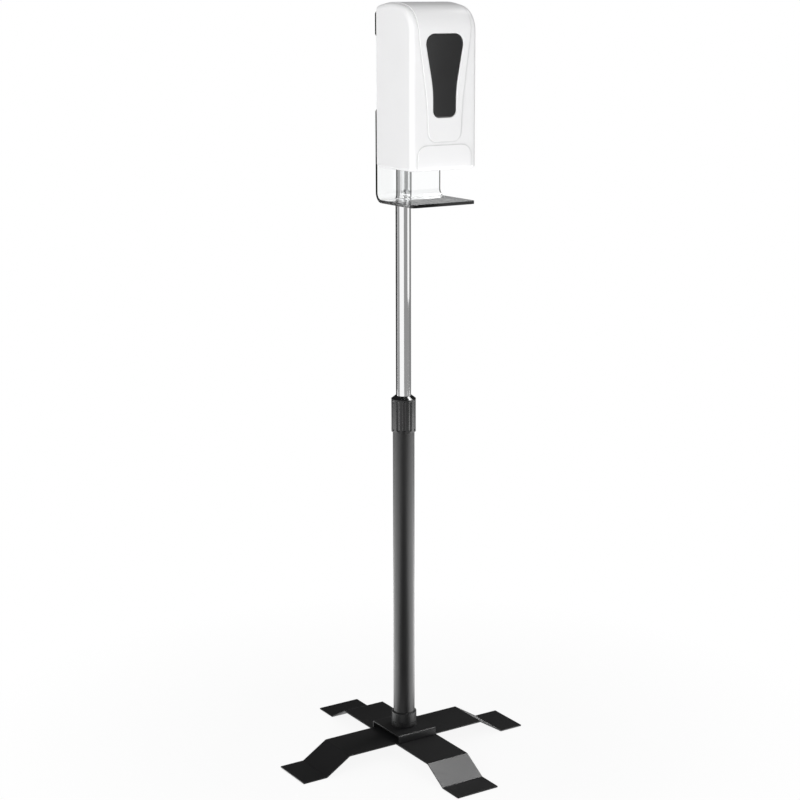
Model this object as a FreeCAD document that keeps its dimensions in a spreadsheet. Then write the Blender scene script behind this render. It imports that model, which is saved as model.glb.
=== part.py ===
import FreeCAD, Part
import math
import os
import re
import Sketcher
from FreeCAD import Rotation, Vector

# Hand sanitizer floor stand: a folded cross foot, a telescopic pole, a bent acrylic
# tray and an automatic dispenser with a drop-down front cover.
# Frame: millimetres, Z up, origin on the floor at the pole's axis, dispenser facing -Y.

SIZES = {
    # Folded leg strips and their rubber pads
    "strip_width": 79.0,
    "strip_sheet": 2.0,
    "flat_half": 132.0,
    "slope_run": 44.0,
    "foot_length": 44.4,
    "leg_clear": 26.4,
    "fold_radius": 2.0,
    "strip_corner": 1.5,
    "pad_sheet": 1.0,
    "pad_margin": 5.0,
    "pad_corner": 3.0,
    # Folded bridge, pole socket and centre bolt
    "bridge_length": 74.0,
    "bridge_sheet": 2.0,
    "bridge_gap": 9.6,
    "bridge_side_gap": 0.25,
    "bridge_fold": 1.0,
    "socket_od": 42.0,
    "socket_height": 26.0,
    "socket_floor": 5.0,
    "socket_ring": 8.0,
    "socket_groove": 0.8,
    "socket_edge": 1.0,
    "seat_fit": 0.05,
    "hub_bolt": 10.0,
    "hub_bolt_play": 0.25,
    "hub_bolt_flats": 17.0,
    "hub_bolt_head": 6.4,
    "hub_bolt_short": 0.5,
    "hub_washer_od": 24.0,
    "hub_washer_sheet": 1.6,
    # Outer tube, split collet and twist collar
    "tube_od": 36.0,
    "tube_wall": 1.5,
    "tube_length": 557.0,
    "collet_plug": 30.0,
    "collet_flange": 3.0,
    "collet_cone": 8.0,
    "collet_cone_root": 16.0,
    "collet_cone_tip": 13.7,
    "collet_slit": 2.0,
    "collet_slit_root": 1.0,
    "collar_od": 40.6,
    "collar_gap": 0.3,
    "collar_cone_gap": 0.4,
    "collar_skirt": 46.0,
    "collar_shoulder": 9.0,
    "collar_cone": 5.0,
    "collar_mouth": 1.0,
    "flute_count": 12,
    "flute_radius": 5.0,
    "flute_depth": 1.1,
    "flute_land": 2.5,
    # Chromed inner pole and its fittings
    "pole_od": 25.0,
    "pole_wall": 1.2,
    "pole_length": 712.0,
    "pole_overlap": 104.0,
    "pole_run": 0.08,
    "bush_run": 0.06,
    "bush_height": 30.0,
    "bush_play": 0.3,
    "bush_groove": 1.2,
    "bush_edge": 1.0,
    "ring_od": 30.0,
    "ring_sheet": 2.0,
    "plug_head_od": 28.0,
    "plug_head": 3.0,
    "plug_depth": 12.0,
    "plug_wall": 2.0,
    "cap_head": 3.0,
    "cap_plug": 10.0,
    "cap_edge": 1.0,
    # Bent acrylic tray
    "acrylic": 5.0,
    "sheet_gap": 0.1,
    "sheet_width": 119.0,
    "sheet_rise": 22.0,
    "sheet_drop": 12.0,
    "tray_reach": 105.4,
    "tray_bend": 11.0,
    "tray_corner": 8.0,
    "sheet_corner": 5.5,
    "notch_drop": 39.0,
    "notch_height": 110.0,
    "notch_depth": 12.0,
    # Screws through back plate, tray and pole
    "mount_screw": 5.0,
    "mount_play": 0.2,
    "mount_head_od": 9.0,
    "mount_head": 3.0,
    "mount_drop": 30.0,
    "mount_lift": 16.0,
    "saddle_od": 14.0,
    "saddle_sheet": 3.0,
    "nut_flats": 8.0,
    "nut_height": 4.0,
    "nut_dome": 7.2,
    # Front cover
    "hand_gap": 50.0,
    "cover_gap": 0.4,
    "cover_width": 121.0,
    "cover_depth": 99.5,
    "cover_height": 252.0,
    "cover_wall": 2.5,
    "crown_radius": 150.0,
    "crown_set": 33.0,
    "front_radius": 40.5,
    "side_round": 8.0,
    "foot_round": 6.0,
    "panel_raise": 1.5,
    "tongue_foot": 44.0,
    "tongue_foot_half": 29.5,
    "tongue_swell": 105.0,
    "tongue_waist_half": 33.0,
    "tongue_shoulder_drop": 41.0,
    "tongue_shoulder_half": 48.0,
    "tongue_top_half": 50.0,
    "tongue_corner": 15.0,
    "tongue_sweep": 150.0,
    "arch_top": 39.0,
    "arch_half": 49.5,
    "arch_foot": 1.0,
    "arch_corner": 17.0,
    "foot_lip": 8.5,
    "foot_lip_rear": 14.0,
    # Smoked window
    "window_foot": 80.5,
    "window_foot_half": 21.3,
    "window_neck": 43.5,
    "window_drop": 45.2,
    "window_top_half": 37.3,
    "window_foot_corner": 11.0,
    "window_sweep": 160.0,
    "window_top_corner": 16.0,
    "window_fit": 0.3,
    "window_recess": 0.8,
    "window_flange": 1.4,
    "window_flange_sheet": 1.2,
    # Cover hinge
    "hinge_inset": 6.5,
    "hinge_pin": 4.0,
    "hinge_run": 0.08,
    "hinge_boss": 10.0,
    "hinge_side_gap": 0.4,
    "ear_sheet": 4.0,
    "ear_half": 5.0,
    "ear_top": 22.0,
    "pin_bite": 1.2,
    # Back plate and lock catch
    "plate_sheet": 3.0,
    "plate_side_gap": 0.4,
    "plate_top_gap": 0.9,
    "plate_corner": 8.0,
    "plate_ear_foot": 12.5,
    "plate_tongue_half": 50.0,
    "lock_set": 20.0,
    "lock_dia": 12.0,
    "lock_run": 0.08,
    "key_slot": 1.2,
    "key_slot_length": 7.0,
    "key_slot_depth": 3.0,
    "cam_drop": 12.0,
    "cam_sheet": 1.6,
    "cam_width": 8.0,
    "cam_corner": 3.6,
    "cam_reach": 16.0,
    "cam_screw": 3.0,
    "cam_screw_head": 1.8,
    "cam_screw_bite": 6.0,
    "catch_gap": 0.7,
    "catch_sheet": 2.0,
    "catch_start": 9.0,
    "catch_width": 9.0,
    "catch_drop": 2.0,
    "catch_rise": 1.4,
    # Lower module: case, lid, pump and electronics
    "case_width": 99.0,
    "case_depth": 87.0,
    "case_foot": 5.5,
    "case_height": 78.5,
    "case_wall": 2.0,
    "case_corner": 4.0,
    "post_width": 6.0,
    "post_height": 12.5,
    "small_screw": 3.0,
    "small_head_od": 5.6,
    "small_head": 2.0,
    "case_screw_half": 30.0,
    "case_screw_level": 48.0,
    "lid_sheet": 2.0,
    "lid_screw_level": 8.5,
    "lid_screw_length": 9.0,
    "pump_set": 52.0,
    "pump_width": 36.0,
    "pump_depth": 34.0,
    "pump_height": 34.5,
    "pump_corner": 3.0,
    "motor_dia": 20.0,
    "motor_length": 22.0,
    "motor_lift": 0.5,
    "tube_pipe": 8.0,
    "pipe_bite": 1.0,
    "nozzle_dia": 11.0,
    "nozzle_tip": 6.4,
    "nozzle_bore": 3.0,
    "nozzle_reach": 6.5,
    "nozzle_play": 0.3,
    "outlet_dia": 16.0,
    "outlet_length": 8.0,
    "seal_od": 22.0,
    "seal_height": 10.0,
    "lens_width": 18.0,
    "lens_depth": 10.0,
    "lens_set": 80.0,
    "lens_rise": 1.0,
    "lens_drop": 0.6,
    "lens_play": 0.2,
    "lens_corner": 1.0,
    "board_half": 40.0,
    "board_depth": 16.0,
    "board_sheet": 1.6,
    "switch_set": 28.5,
    "switch_width": 18.0,
    "switch_depth": 6.0,
    "switch_height": 9.9,
    "switch_travel": 4.0,
    "knob_width": 6.0,
    "knob_height": 5.4,
    "knob_play": 0.3,
    "knob_stand": 2.0,
    "knob_flange": 2.0,
    "indicator_dia": 5.0,
    "indicator_set": 12.0,
    "indicator_stand": 0.6,
    "panel_level": 9.5,
    # Battery bay
    "cell_dia": 14.5,
    "cell_length": 49.5,
    "cell_nub": 5.5,
    "cell_nub_height": 1.0,
    "cell_pitch": 15.0,
    "cell_count": 4,
    "bay_wall": 1.5,
    "contact_sheet": 0.5,
    "contact_spring": 2.3,
    "contact_play": 0.2,
    "bay_depth": 15.5,
    "door_sheet": 1.8,
    "door_play": 0.3,
    "door_lap": 2.0,
    "door_side_lap": 2.0,
    "door_travel": 32.0,
    "rail_sheet": 1.7,
    "rail_lip": 1.5,
    "rail_lip_sheet": 1.2,
    "grip_width": 1.6,
    "grip_depth": 0.7,
    "grip_pitch": 4.0,
    "grip_count": 4,
    # Refill bottle
    "bottle_width": 100.0,
    "bottle_depth": 71.0,
    "bottle_top_gap": 20.5,
    "bottle_back": 6.0,
    "bottle_corner": 12.0,
    "bottle_shoulder": 8.0,
    "neck_dia": 32.0,
    "neck_height": 10.0,
    "screw_cap_dia": 40.0,
    "screw_cap_height": 13.0,
    "screw_cap_gap": 0.3,
    "screw_cap_flutes": 18,
    "screw_cap_flute": 1.5,
}

doc = FreeCAD.newDocument("SanitizerStand")
dims = doc.addObject("Spreadsheet::Sheet", "Dims")
for row, (alias, number) in enumerate(SIZES.items(), start=1):
    dims.set(f"A{row}", alias.replace("_", " "))
    dims.set(f"B{row}", str(number))
    dims.setAlias(f"B{row}", alias)
doc.recompute()

# Levels and places, worked out from the sizes
STRIP_END = "(flat_half + slope_run + foot_length)"
LOWER_TOP = "(leg_clear + strip_sheet)"
UPPER_TOP = f"({LOWER_TOP} + strip_sheet)"
BRIDGE_TOP = f"({UPPER_TOP} + bridge_gap + bridge_sheet)"
TUBE_FOOT = f"({BRIDGE_TOP} + socket_floor)"
TUBE_TOP = f"({TUBE_FOOT} + tube_length)"
POLE_FOOT = f"({TUBE_TOP} - pole_overlap)"
POLE_TOP = f"({POLE_FOOT} + pole_length)"
SHEET_BACK = "(pole_od / 2 + sheet_gap)"
SHEET_FRONT = f"({SHEET_BACK} + acrylic)"
SHEET_HEIGHT = "(acrylic + hand_gap + cover_height - sheet_drop)"
TRAY_UNDER = f"({POLE_TOP} + sheet_rise - {SHEET_HEIGHT})"
HOUSING_FOOT = f"({TRAY_UNDER} + acrylic + hand_gap)"
CASE_TOP = "(case_foot + case_height)"
UPPER_SCREW = f"({POLE_TOP} - mount_drop)"
LOWER_SCREW = f"({HOUSING_FOOT} + {CASE_TOP} + mount_lift)"
SCREW_DROPS = ("mount_drop", f"({POLE_TOP} - {LOWER_SCREW})")
HOUSING = {"y": f"-{SHEET_FRONT}", "z": HOUSING_FOOT}
HINGE_Y = "(cover_gap + hinge_inset)"
CASE_FLOOR = "(case_foot + case_wall)"
CASE_FRONT = "(plate_sheet + case_depth)"
LID_FRONT = f"({CASE_FRONT} + lid_sheet)"
BAY_WIDTH = "(cell_pitch * cell_count)"
BAY_HEIGHT = "(contact_sheet + cell_length + cell_nub_height + contact_play + contact_spring)"
BAY_TOP = f"({CASE_TOP} - case_wall - bay_wall)"
BAY_FOOT = f"({BAY_TOP} - {BAY_HEIGHT})"
BAY_LEFT = "(case_width / 2 - case_wall - bay_wall)"
BOARD_FOOT = f"({CASE_FLOOR} + lens_rise)"
PANEL_LEVEL = "(case_foot + panel_level)"
CROWN_CENTRE = "(cover_height - crown_radius)"
CAM_LEVEL = "(cover_height - cam_drop)"
WINDOW_TOP = "(cover_height - window_drop)"
WINDOW_WAIST = "(window_foot + window_neck)"
BOTTLE_HEIGHT = f"(cover_height - cover_wall - bottle_top_gap - screw_cap_height - {CASE_TOP})"
NOTCH_TOP = f"({SHEET_HEIGHT} - notch_drop)"
NOTCH_FOOT = f"({NOTCH_TOP} - notch_height)"


def ex(text):
    """A formula with the sheet's names written as its expressions need them."""
    return re.sub(r"[a-z][a-z_]*", lambda word: name_in_sheet(word.group(0)), str(text))


def name_in_sheet(word):
    return "Dims." + word if word in SIZES else word


def size(text):
    """The present value of a formula."""
    return float(dims.evalExpression(ex(text)))


def new_body(label, x="0", y="0", z="0"):
    body = doc.addObject("PartDesign::Body", label)
    body.Label = label
    for axis, text in (("x", x), ("y", y), ("z", z)):
        body.setExpression(f"Placement.Base.{axis}", ex(text))
    return body


def sketch_on(body, role, offset=None):
    """A sketch on one of the body's origin planes, moved along its normal by offset."""
    plane = next(item for item in body.Origin.OriginFeatures if item.Role == role)
    sketch = body.newObject("Sketcher::SketchObject", body.Name + "_sketch")
    sketch.AttachmentSupport = [(plane, "")]
    sketch.MapMode = "FlatFace"
    if offset is not None:
        sketch.setExpression("AttachmentOffset.Base.z", ex(offset))
    return sketch


def fix_value(sketch, constraint, text):
    number = sketch.addConstraint(constraint)
    sketch.setExpression(f"Constraints[{number}]", ex(text))


def fix_point(sketch, geometry, point, x, y):
    """Hold a point at formulas x and y from the sketch's origin."""
    for kind, text, axis in (("DistanceX", x, -2), ("DistanceY", y, -1)):
        if text == "0":
            sketch.addConstraint(Sketcher.Constraint("PointOnObject", geometry, point, axis))
        else:
            rule = Sketcher.Constraint(kind, -1, 1, geometry, point, size(text))
            fix_value(sketch, rule, text)


def polygon(sketch, corners):
    first = sketch.GeometryCount
    count = len(corners)
    spots = [Vector(size(x), size(y), 0) for x, y in corners]
    for start, end in zip(spots, spots[1:] + spots[:1]):
        sketch.addGeometry(Part.LineSegment(start, end), False)
    for i, (x, y) in enumerate(corners):
        rule = Sketcher.Constraint("Coincident", first + i, 2, first + (i + 1) % count, 1)
        sketch.addConstraint(rule)
        fix_point(sketch, first + i, 1, x, y)


def mirrored(corners):
    """The right half of an outline, from foot to top, closed with its mirror image."""
    left = [("-" + x, y) for x, y in reversed(corners)]
    return corners + left


def rectangle(sketch, x_low, x_high, y_low, y_high):
    polygon(sketch, [(x_low, y_low), (x_high, y_low), (x_high, y_high), (x_low, y_high)])


def circle(sketch, x, y, radius):
    spot = Vector(size(x), size(y), 0)
    ring = sketch.addGeometry(Part.Circle(spot, Vector(0, 0, 1), size(radius)), False)
    fix_point(sketch, ring, 3, x, y)
    fix_value(sketch, Sketcher.Constraint("Radius", ring, size(radius)), radius)


def pad(body, sketch, length, side="One side", back=False):
    feature = body.newObject("PartDesign::Pad", body.Name + "_pad")
    feature.Profile = sketch
    feature.SideType = side
    feature.Reversed = back
    feature.setExpression("Length", ex(length))
    doc.recompute()
    return feature


def pocket(body, sketch, length=None, side="Symmetric", back=False):
    """A pocket; with no length it goes right through. It must take material away."""
    before = body.Shape.Volume
    feature = body.newObject("PartDesign::Pocket", body.Name + "_pocket")
    feature.Profile = sketch
    feature.SideType = side
    feature.Reversed = back
    if length is None:
        feature.Type = "ThroughAll"
    else:
        feature.setExpression("Length", ex(length))
    doc.recompute()
    if body.Shape.Volume >= before:
        raise RuntimeError(f"the pocket in {body.Label} cuts nothing")
    return feature


def revolve(body, sketch, axis="V_Axis"):
    feature = body.newObject("PartDesign::Revolution", body.Name + "_turned")
    feature.Profile = sketch
    feature.ReferenceAxis = (sketch, [axis])
    feature.Angle = 360
    doc.recompute()
    return feature


def fillet(body, radius, test, kind="Fillet"):
    """Round (or chamfer) the edges of the body's last feature that pass the test."""
    base = body.Tip
    edges = base.Shape.Edges
    names = [f"Edge{i}" for i, edge in enumerate(edges, start=1) if test(edge)]
    feature = body.newObject("PartDesign::" + kind, body.Name + "_" + kind.lower())
    feature.Base = (base, names)
    feature.setExpression("Radius" if kind == "Fillet" else "Size", ex(radius))
    doc.recompute()
    return feature


def polar(body, feature, count, angle=360):
    """Repeat a feature round the body's Z axis."""
    axis = next(item for item in body.Origin.OriginFeatures if item.Role == "Z_Axis")
    pattern = body.newObject("PartDesign::PolarPattern", body.Name + "_pattern")
    pattern.Originals = [feature]
    pattern.Axis = (axis, [""])
    pattern.Angle = angle
    pattern.setExpression("Occurrences", ex(count))
    body.Tip = pattern
    doc.recompute()
    return pattern


def middle(edge):
    return edge.valueAt((edge.FirstParameter + edge.LastParameter) / 2)


def straight(edge, direction):
    """True for a straight edge that runs along the given direction."""
    if edge.Curve.TypeId != "Part::GeomLine":
        return False
    return abs(abs(edge.tangentAt(edge.FirstParameter).dot(direction)) - 1) < 1e-6


def near(value, *targets):
    return any(abs(value - target) < 0.01 for target in targets)


def turned(label, corners, upright=True, **place):
    """A turned piece: corners are (radius, height), upright about Z or lying about Y."""
    body = new_body(label, **place)
    sketch = sketch_on(body, "XZ_Plane" if upright else "XY_Plane")
    polygon(sketch, corners)
    revolve(body, sketch)
    return body


def boolean(kind, label, first, *others):
    """Part boolean of bodies or features. Several tools are joined first."""
    result = doc.addObject("Part::" + kind, label)
    result.Label = label
    if len(others) == 1:
        tool = others[0]
    else:
        tool = doc.addObject("Part::MultiFuse", label + "_tools")
        tool.Shapes = list(others)
    result.Base = first
    result.Tool = tool
    doc.recompute()
    return result


def group(label, pieces):
    """Identical pieces kept as separate solids of one node."""
    result = doc.addObject("Part::Compound", label)
    result.Label = label
    result.Links = pieces
    doc.recompute()
    return result


X, Y, Z = Vector(1, 0, 0), Vector(0, 1, 0), Vector(0, 0, 1)
nodes = []


# Leg strips: one long steel strip each, folded down to a foot at both ends.
# The lower strip runs front to back, the upper one crosses it left to right.
def leg_strip(label, clear, plane, width_axis, run_axis):
    body = new_body(label, z="pad_sheet")
    rise = f"({clear} - pad_sheet)"
    shift = f"(strip_sheet * (sqrt({rise}^2 + slope_run^2) - slope_run) / {rise})"
    bend = "(flat_half + slope_run)"
    crest, root = f"(flat_half + {shift})", f"({bend} + {shift})"
    under = [(f"-{STRIP_END}", "0"), (f"-{bend}", "0"), ("-flat_half", rise),
             ("flat_half", rise), (bend, "0"), (STRIP_END, "0")]
    top = f"({rise} + strip_sheet)"
    over = [(STRIP_END, "strip_sheet"), (root, "strip_sheet"), (crest, top),
            (f"-{crest}", top), (f"-{root}", "strip_sheet"), (f"-{STRIP_END}", "strip_sheet")]
    sketch = sketch_on(body, plane)
    polygon(sketch, under + over)
    pad(body, sketch, "strip_width", side="Symmetric")

    def fold(edge, spots):
        spot = middle(edge)
        reach = abs(spot.dot(run_axis))
        return straight(edge, width_axis) and any(near(reach, a) and near(spot.z, b) for a, b in spots)

    inside = [(size(root), size("strip_sheet")), (size("flat_half"), size(rise))]
    fillet(body, "fold_radius", lambda edge: fold(edge, inside))
    outside = [(size(bend), 0.0), (size(crest), size(top))]
    fillet(body, "fold_radius + strip_sheet", lambda edge: fold(edge, outside))
    end = size(STRIP_END)
    fillet(body, "strip_corner",
           lambda edge: straight(edge, Z) and near(abs(middle(edge).dot(run_axis)), end))
    hole = sketch_on(body, "XY_Plane")
    circle(hole, "0", "0", "hub_bolt / 2 + hub_bolt_play")
    pocket(body, hole)
    nodes.append(body)


leg_strip("lower_leg_strip", "leg_clear", "YZ_Plane", X, Y)
leg_strip("upper_leg_strip", LOWER_TOP, "XZ_Plane", Y, X)

# Rubber pads: one glued under each foot
PAD_SPOT = "(flat_half + slope_run + foot_length / 2)"
PAD_LONG, PAD_WIDE = "(foot_length / 2 - pad_margin)", "(strip_width / 2 - pad_margin)"
for name, x, y in (("left", f"-{PAD_SPOT}", "0"), ("right", PAD_SPOT, "0"),
                   ("front", "0", f"-{PAD_SPOT}"), ("rear", "0", PAD_SPOT)):
    foot_pad = new_body("foot_pad_" + name, x=x, y=y)
    outline = sketch_on(foot_pad, "XY_Plane")
    half_x, half_y = (PAD_LONG, PAD_WIDE) if y == "0" else (PAD_WIDE, PAD_LONG)
    rectangle(outline, "-" + half_x, half_x, "-" + half_y, half_y)
    pad(foot_pad, outline, "pad_sheet")
    fillet(foot_pad, "pad_corner", lambda edge: straight(edge, Z))
    nodes.append(foot_pad)

# Bridge: a short steel channel that straddles the upper strip and stands on the lower one
bridge = new_body("hub_bridge", z=LOWER_TOP)
BRIDGE_IN = "(strip_width / 2 + bridge_side_gap)"
BRIDGE_OUT = f"({BRIDGE_IN} + bridge_sheet)"
BRIDGE_UNDER = "(strip_sheet + bridge_gap)"
channel = sketch_on(bridge, "YZ_Plane")
polygon(channel, mirrored([(BRIDGE_IN, BRIDGE_UNDER), (BRIDGE_IN, "0"), (BRIDGE_OUT, "0"),
                           (BRIDGE_OUT, f"({BRIDGE_UNDER} + bridge_sheet)")]))
pad(bridge, channel, "bridge_length", side="Symmetric")
fillet(bridge, "bridge_fold", lambda edge: straight(edge, X)
       and near(abs(middle(edge).y), size(BRIDGE_IN)) and near(middle(edge).z, size(BRIDGE_UNDER)))
fillet(bridge, "bridge_fold + bridge_sheet", lambda edge: straight(edge, X)
       and near(abs(middle(edge).y), size(BRIDGE_OUT)) and middle(edge).z > size(BRIDGE_UNDER))
hole = sketch_on(bridge, "XY_Plane")
circle(hole, "0", "0", "hub_bolt / 2 + hub_bolt_play")
pocket(bridge, hole)
nodes.append(bridge)

# Pole socket: a turned steel cup on the bridge that takes the foot of the outer tube
SOCKET_BORE = "(tube_od / 2 + seat_fit)"
BOLT_BORE = "(hub_bolt / 2 + seat_fit)"
socket = turned("pole_socket", [
    (BOLT_BORE, "0"), ("(socket_od / 2)", "0"), ("(socket_od / 2)", "socket_ring"),
    ("(socket_od / 2 - socket_groove)", "socket_ring"),
    ("(socket_od / 2 - socket_groove)", "(socket_ring + socket_groove)"),
    ("(socket_od / 2)", "(socket_ring + socket_groove)"),
    ("(socket_od / 2)", "(socket_height - socket_edge)"),
    ("(socket_od / 2 - socket_edge)", "socket_height"),
    (SOCKET_BORE, "socket_height"), (SOCKET_BORE, "socket_floor"), (BOLT_BORE, "socket_floor"),
], z=BRIDGE_TOP)
nodes.append(socket)

# Centre bolt and washer: clamp both strips and the bridge to the socket from below
washer = turned("hub_washer", [
    ("(hub_bolt / 2 + hub_bolt_play)", "0"), ("(hub_washer_od / 2)", "0"),
    ("(hub_washer_od / 2)", "hub_washer_sheet"),
    ("(hub_bolt / 2 + hub_bolt_play)", "hub_washer_sheet"),
], z="leg_clear - hub_washer_sheet")
nodes.append(washer)
BOLT_HEAD_FOOT = "(leg_clear - hub_washer_sheet - hub_bolt_head)"
head = doc.addObject("Part::Prism", "hub_bolt_hexagon")
head.Polygon = 6
head.setExpression("Circumradius", ex("hub_bolt_flats / sqrt(3)"))
head.setExpression("Height", ex("hub_bolt_head"))
head.setExpression("Placement.Base.z", ex(BOLT_HEAD_FOOT))
shank = doc.addObject("Part::Cylinder", "hub_bolt_shank")
shank.setExpression("Radius", ex("hub_bolt / 2"))
shank.setExpression("Height", ex(f"{TUBE_FOOT} - hub_bolt_short - {BOLT_HEAD_FOOT}"))
shank.setExpression("Placement.Base.z", ex(BOLT_HEAD_FOOT))
nodes.append(boolean("Fuse", "hub_bolt", head, shank))


def tube(label, outer, wall, length, foot):
    """A drawn round tube standing on the pole's axis."""
    body = new_body(label, z=foot)
    rings = sketch_on(body, "XY_Plane")
    circle(rings, "0", "0", f"{outer} / 2")
    circle(rings, "0", "0", f"{outer} / 2 - {wall}")
    pad(body, rings, length)
    nodes.append(body)
    return body


# Outer tube of the telescopic pole
tube("outer_tube", "tube_od", "tube_wall", "tube_length", TUBE_FOOT)

# Collet: a nylon bush in the tube's mouth whose four fingers grip the pole
COLLET_PLUG = "(tube_od / 2 - tube_wall - seat_fit)"
POLE_BORE = "(pole_od / 2 + pole_run)"
FINGER_TOP = "(collet_flange + collet_cone)"
collet = turned("collet", [
    (POLE_BORE, "-collet_plug"), (COLLET_PLUG, "-collet_plug"), (COLLET_PLUG, "0"),
    ("(tube_od / 2)", "0"), ("(tube_od / 2)", "collet_flange"),
    ("collet_cone_root", "collet_flange"), ("collet_cone_tip", FINGER_TOP),
    (POLE_BORE, FINGER_TOP),
], z=TUBE_TOP)
slit = sketch_on(collet, "XZ_Plane")
rectangle(slit, "-collet_slit / 2", "collet_slit / 2",
          "collet_flange + collet_slit_root", f"{FINGER_TOP} + collet_slit_root")
polar(collet, pocket(collet, slit), "2", angle=90)
nodes.append(collet)

# Twist collar: moulded, with flutes for the hand; its inner cone closes the collet
collar = turned("lock_collar", [
    ("(tube_od / 2 + collar_gap)", "-collar_skirt"), ("(collar_od / 2)", "-collar_skirt"),
    ("(collar_od / 2)", "collar_shoulder"),
    ("(pole_od / 2 + collar_cone_gap + collar_mouth)", "(collar_shoulder + collar_cone)"),
    ("(pole_od / 2 + collar_cone_gap)", "(collar_shoulder + collar_cone)"),
    ("(pole_od / 2 + collar_cone_gap)", f"({FINGER_TOP} + collar_cone_gap)"),
    ("(collet_cone_tip + collar_cone_gap)", f"({FINGER_TOP} + collar_cone_gap)"),
    ("(collet_cone_root + collar_cone_gap)", "(collet_flange + collar_cone_gap)"),
    ("(tube_od / 2 + collar_gap)", "(collet_flange + collar_cone_gap)"),
], z=TUBE_TOP)
flute = sketch_on(collar, "XY_Plane", offset="flute_land - collar_skirt")
circle(flute, "collar_od / 2 + flute_radius - flute_depth", "0", "flute_radius")
flute_cut = pocket(collar, flute, "collar_skirt + collar_shoulder - flute_land * 2",
                   side="One side", back=True)
polar(collar, flute_cut, "flute_count")
nodes.append(collar)

# Chromed pole: slides and turns in the collet and the guide bush
pole = tube("inner_pole", "pole_od", "pole_wall", "pole_length", POLE_FOOT)
holes = sketch_on(pole, "XZ_Plane")
for drop in SCREW_DROPS:
    circle(holes, "0", f"pole_length - {drop}", "mount_screw / 2 + mount_play")
pocket(pole, holes)

POLE_IN = "(pole_od / 2 - pole_wall)"
nodes.append(turned("pole_cap", [
    ("0", "-cap_plug"), (POLE_IN, "-cap_plug"), (POLE_IN, "0"), ("(pole_od / 2)", "0"),
    ("(pole_od / 2)", "(cap_head - cap_edge)"), ("(pole_od / 2 - cap_edge)", "cap_head"),
    ("0", "cap_head"),
], z=POLE_TOP))

# End plug, guide bush and stop ring: the bush turns freely on the pole, held between
# the plug's head and the ring, and slides in the outer tube
nodes.append(turned("pole_end_plug", [
    ("0", "-plug_head"), ("(plug_head_od / 2)", "-plug_head"), ("(plug_head_od / 2)", "0"),
    (POLE_IN, "0"), (POLE_IN, "plug_depth"), (f"({POLE_IN} - plug_wall)", "plug_depth"),
    (f"({POLE_IN} - plug_wall)", "plug_wall"), ("0", "plug_wall"),
], z=POLE_FOOT))
BUSH_OUT = "(tube_od / 2 - tube_wall - bush_run)"
BUSH_LOW, BUSH_HIGH = "(bush_height / 3)", "(bush_height * 2 / 3)"
nodes.append(turned("guide_bush", [
    (POLE_BORE, "0"), (f"({BUSH_OUT} - bush_edge)", "0"), (BUSH_OUT, "bush_edge"),
    (BUSH_OUT, BUSH_LOW), (f"({BUSH_OUT} - bush_groove)", BUSH_LOW),
    (f"({BUSH_OUT} - bush_groove)", BUSH_HIGH), (BUSH_OUT, BUSH_HIGH),
    (BUSH_OUT, "(bush_height - bush_edge)"), (f"({BUSH_OUT} - bush_edge)", "bush_height"),
    (POLE_BORE, "bush_height"),
], z=f"{POLE_FOOT} + bush_play"))
nodes.append(turned("stop_ring", [
    ("(pole_od / 2)", "0"), ("(ring_od / 2)", "0"), ("(ring_od / 2)", "ring_sheet"),
    ("(pole_od / 2)", "ring_sheet"),
], z=f"{POLE_FOOT} + bush_height + bush_play * 2"))

# Tray: one clear acrylic sheet, bent forward at its foot, notched at both sides
tray = new_body("acrylic_tray", y=f"-{SHEET_BACK}", z=TRAY_UNDER)
profile = sketch_on(tray, "YZ_Plane")
polygon(profile, [("0", "0"), ("0", SHEET_HEIGHT), ("-acrylic", SHEET_HEIGHT),
                  ("-acrylic", "acrylic"), ("-tray_reach", "acrylic"), ("-tray_reach", "0")])
pad(tray, profile, "sheet_width", side="Symmetric")
fillet(tray, "tray_bend", lambda edge: straight(edge, X)
       and near(middle(edge).y, -size("acrylic")) and near(middle(edge).z, size("acrylic")))
fillet(tray, "tray_bend + acrylic", lambda edge: straight(edge, X)
       and near(middle(edge).y, 0) and near(middle(edge).z, 0))
notches = sketch_on(tray, "XZ_Plane")
NOTCH_IN = "(sheet_width / 2 - notch_depth)"
NOTCH_OUT = "(sheet_width / 2 + notch_depth)"
rectangle(notches, NOTCH_IN, NOTCH_OUT, NOTCH_FOOT, NOTCH_TOP)
rectangle(notches, "-" + NOTCH_OUT, "-" + NOTCH_IN, NOTCH_FOOT, NOTCH_TOP)
for drop in SCREW_DROPS:
    circle(notches, "0", f"{SHEET_HEIGHT} - sheet_rise - {drop}", "mount_screw / 2 + mount_play")
pocket(tray, notches)
fillet(tray, "sheet_corner", lambda edge: straight(edge, Y)
       and middle(edge).z > size(NOTCH_FOOT) - 1)
fillet(tray, "tray_corner", lambda edge: straight(edge, Z)
       and near(middle(edge).y, -size("tray_reach")))
nodes.append(tray)

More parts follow.
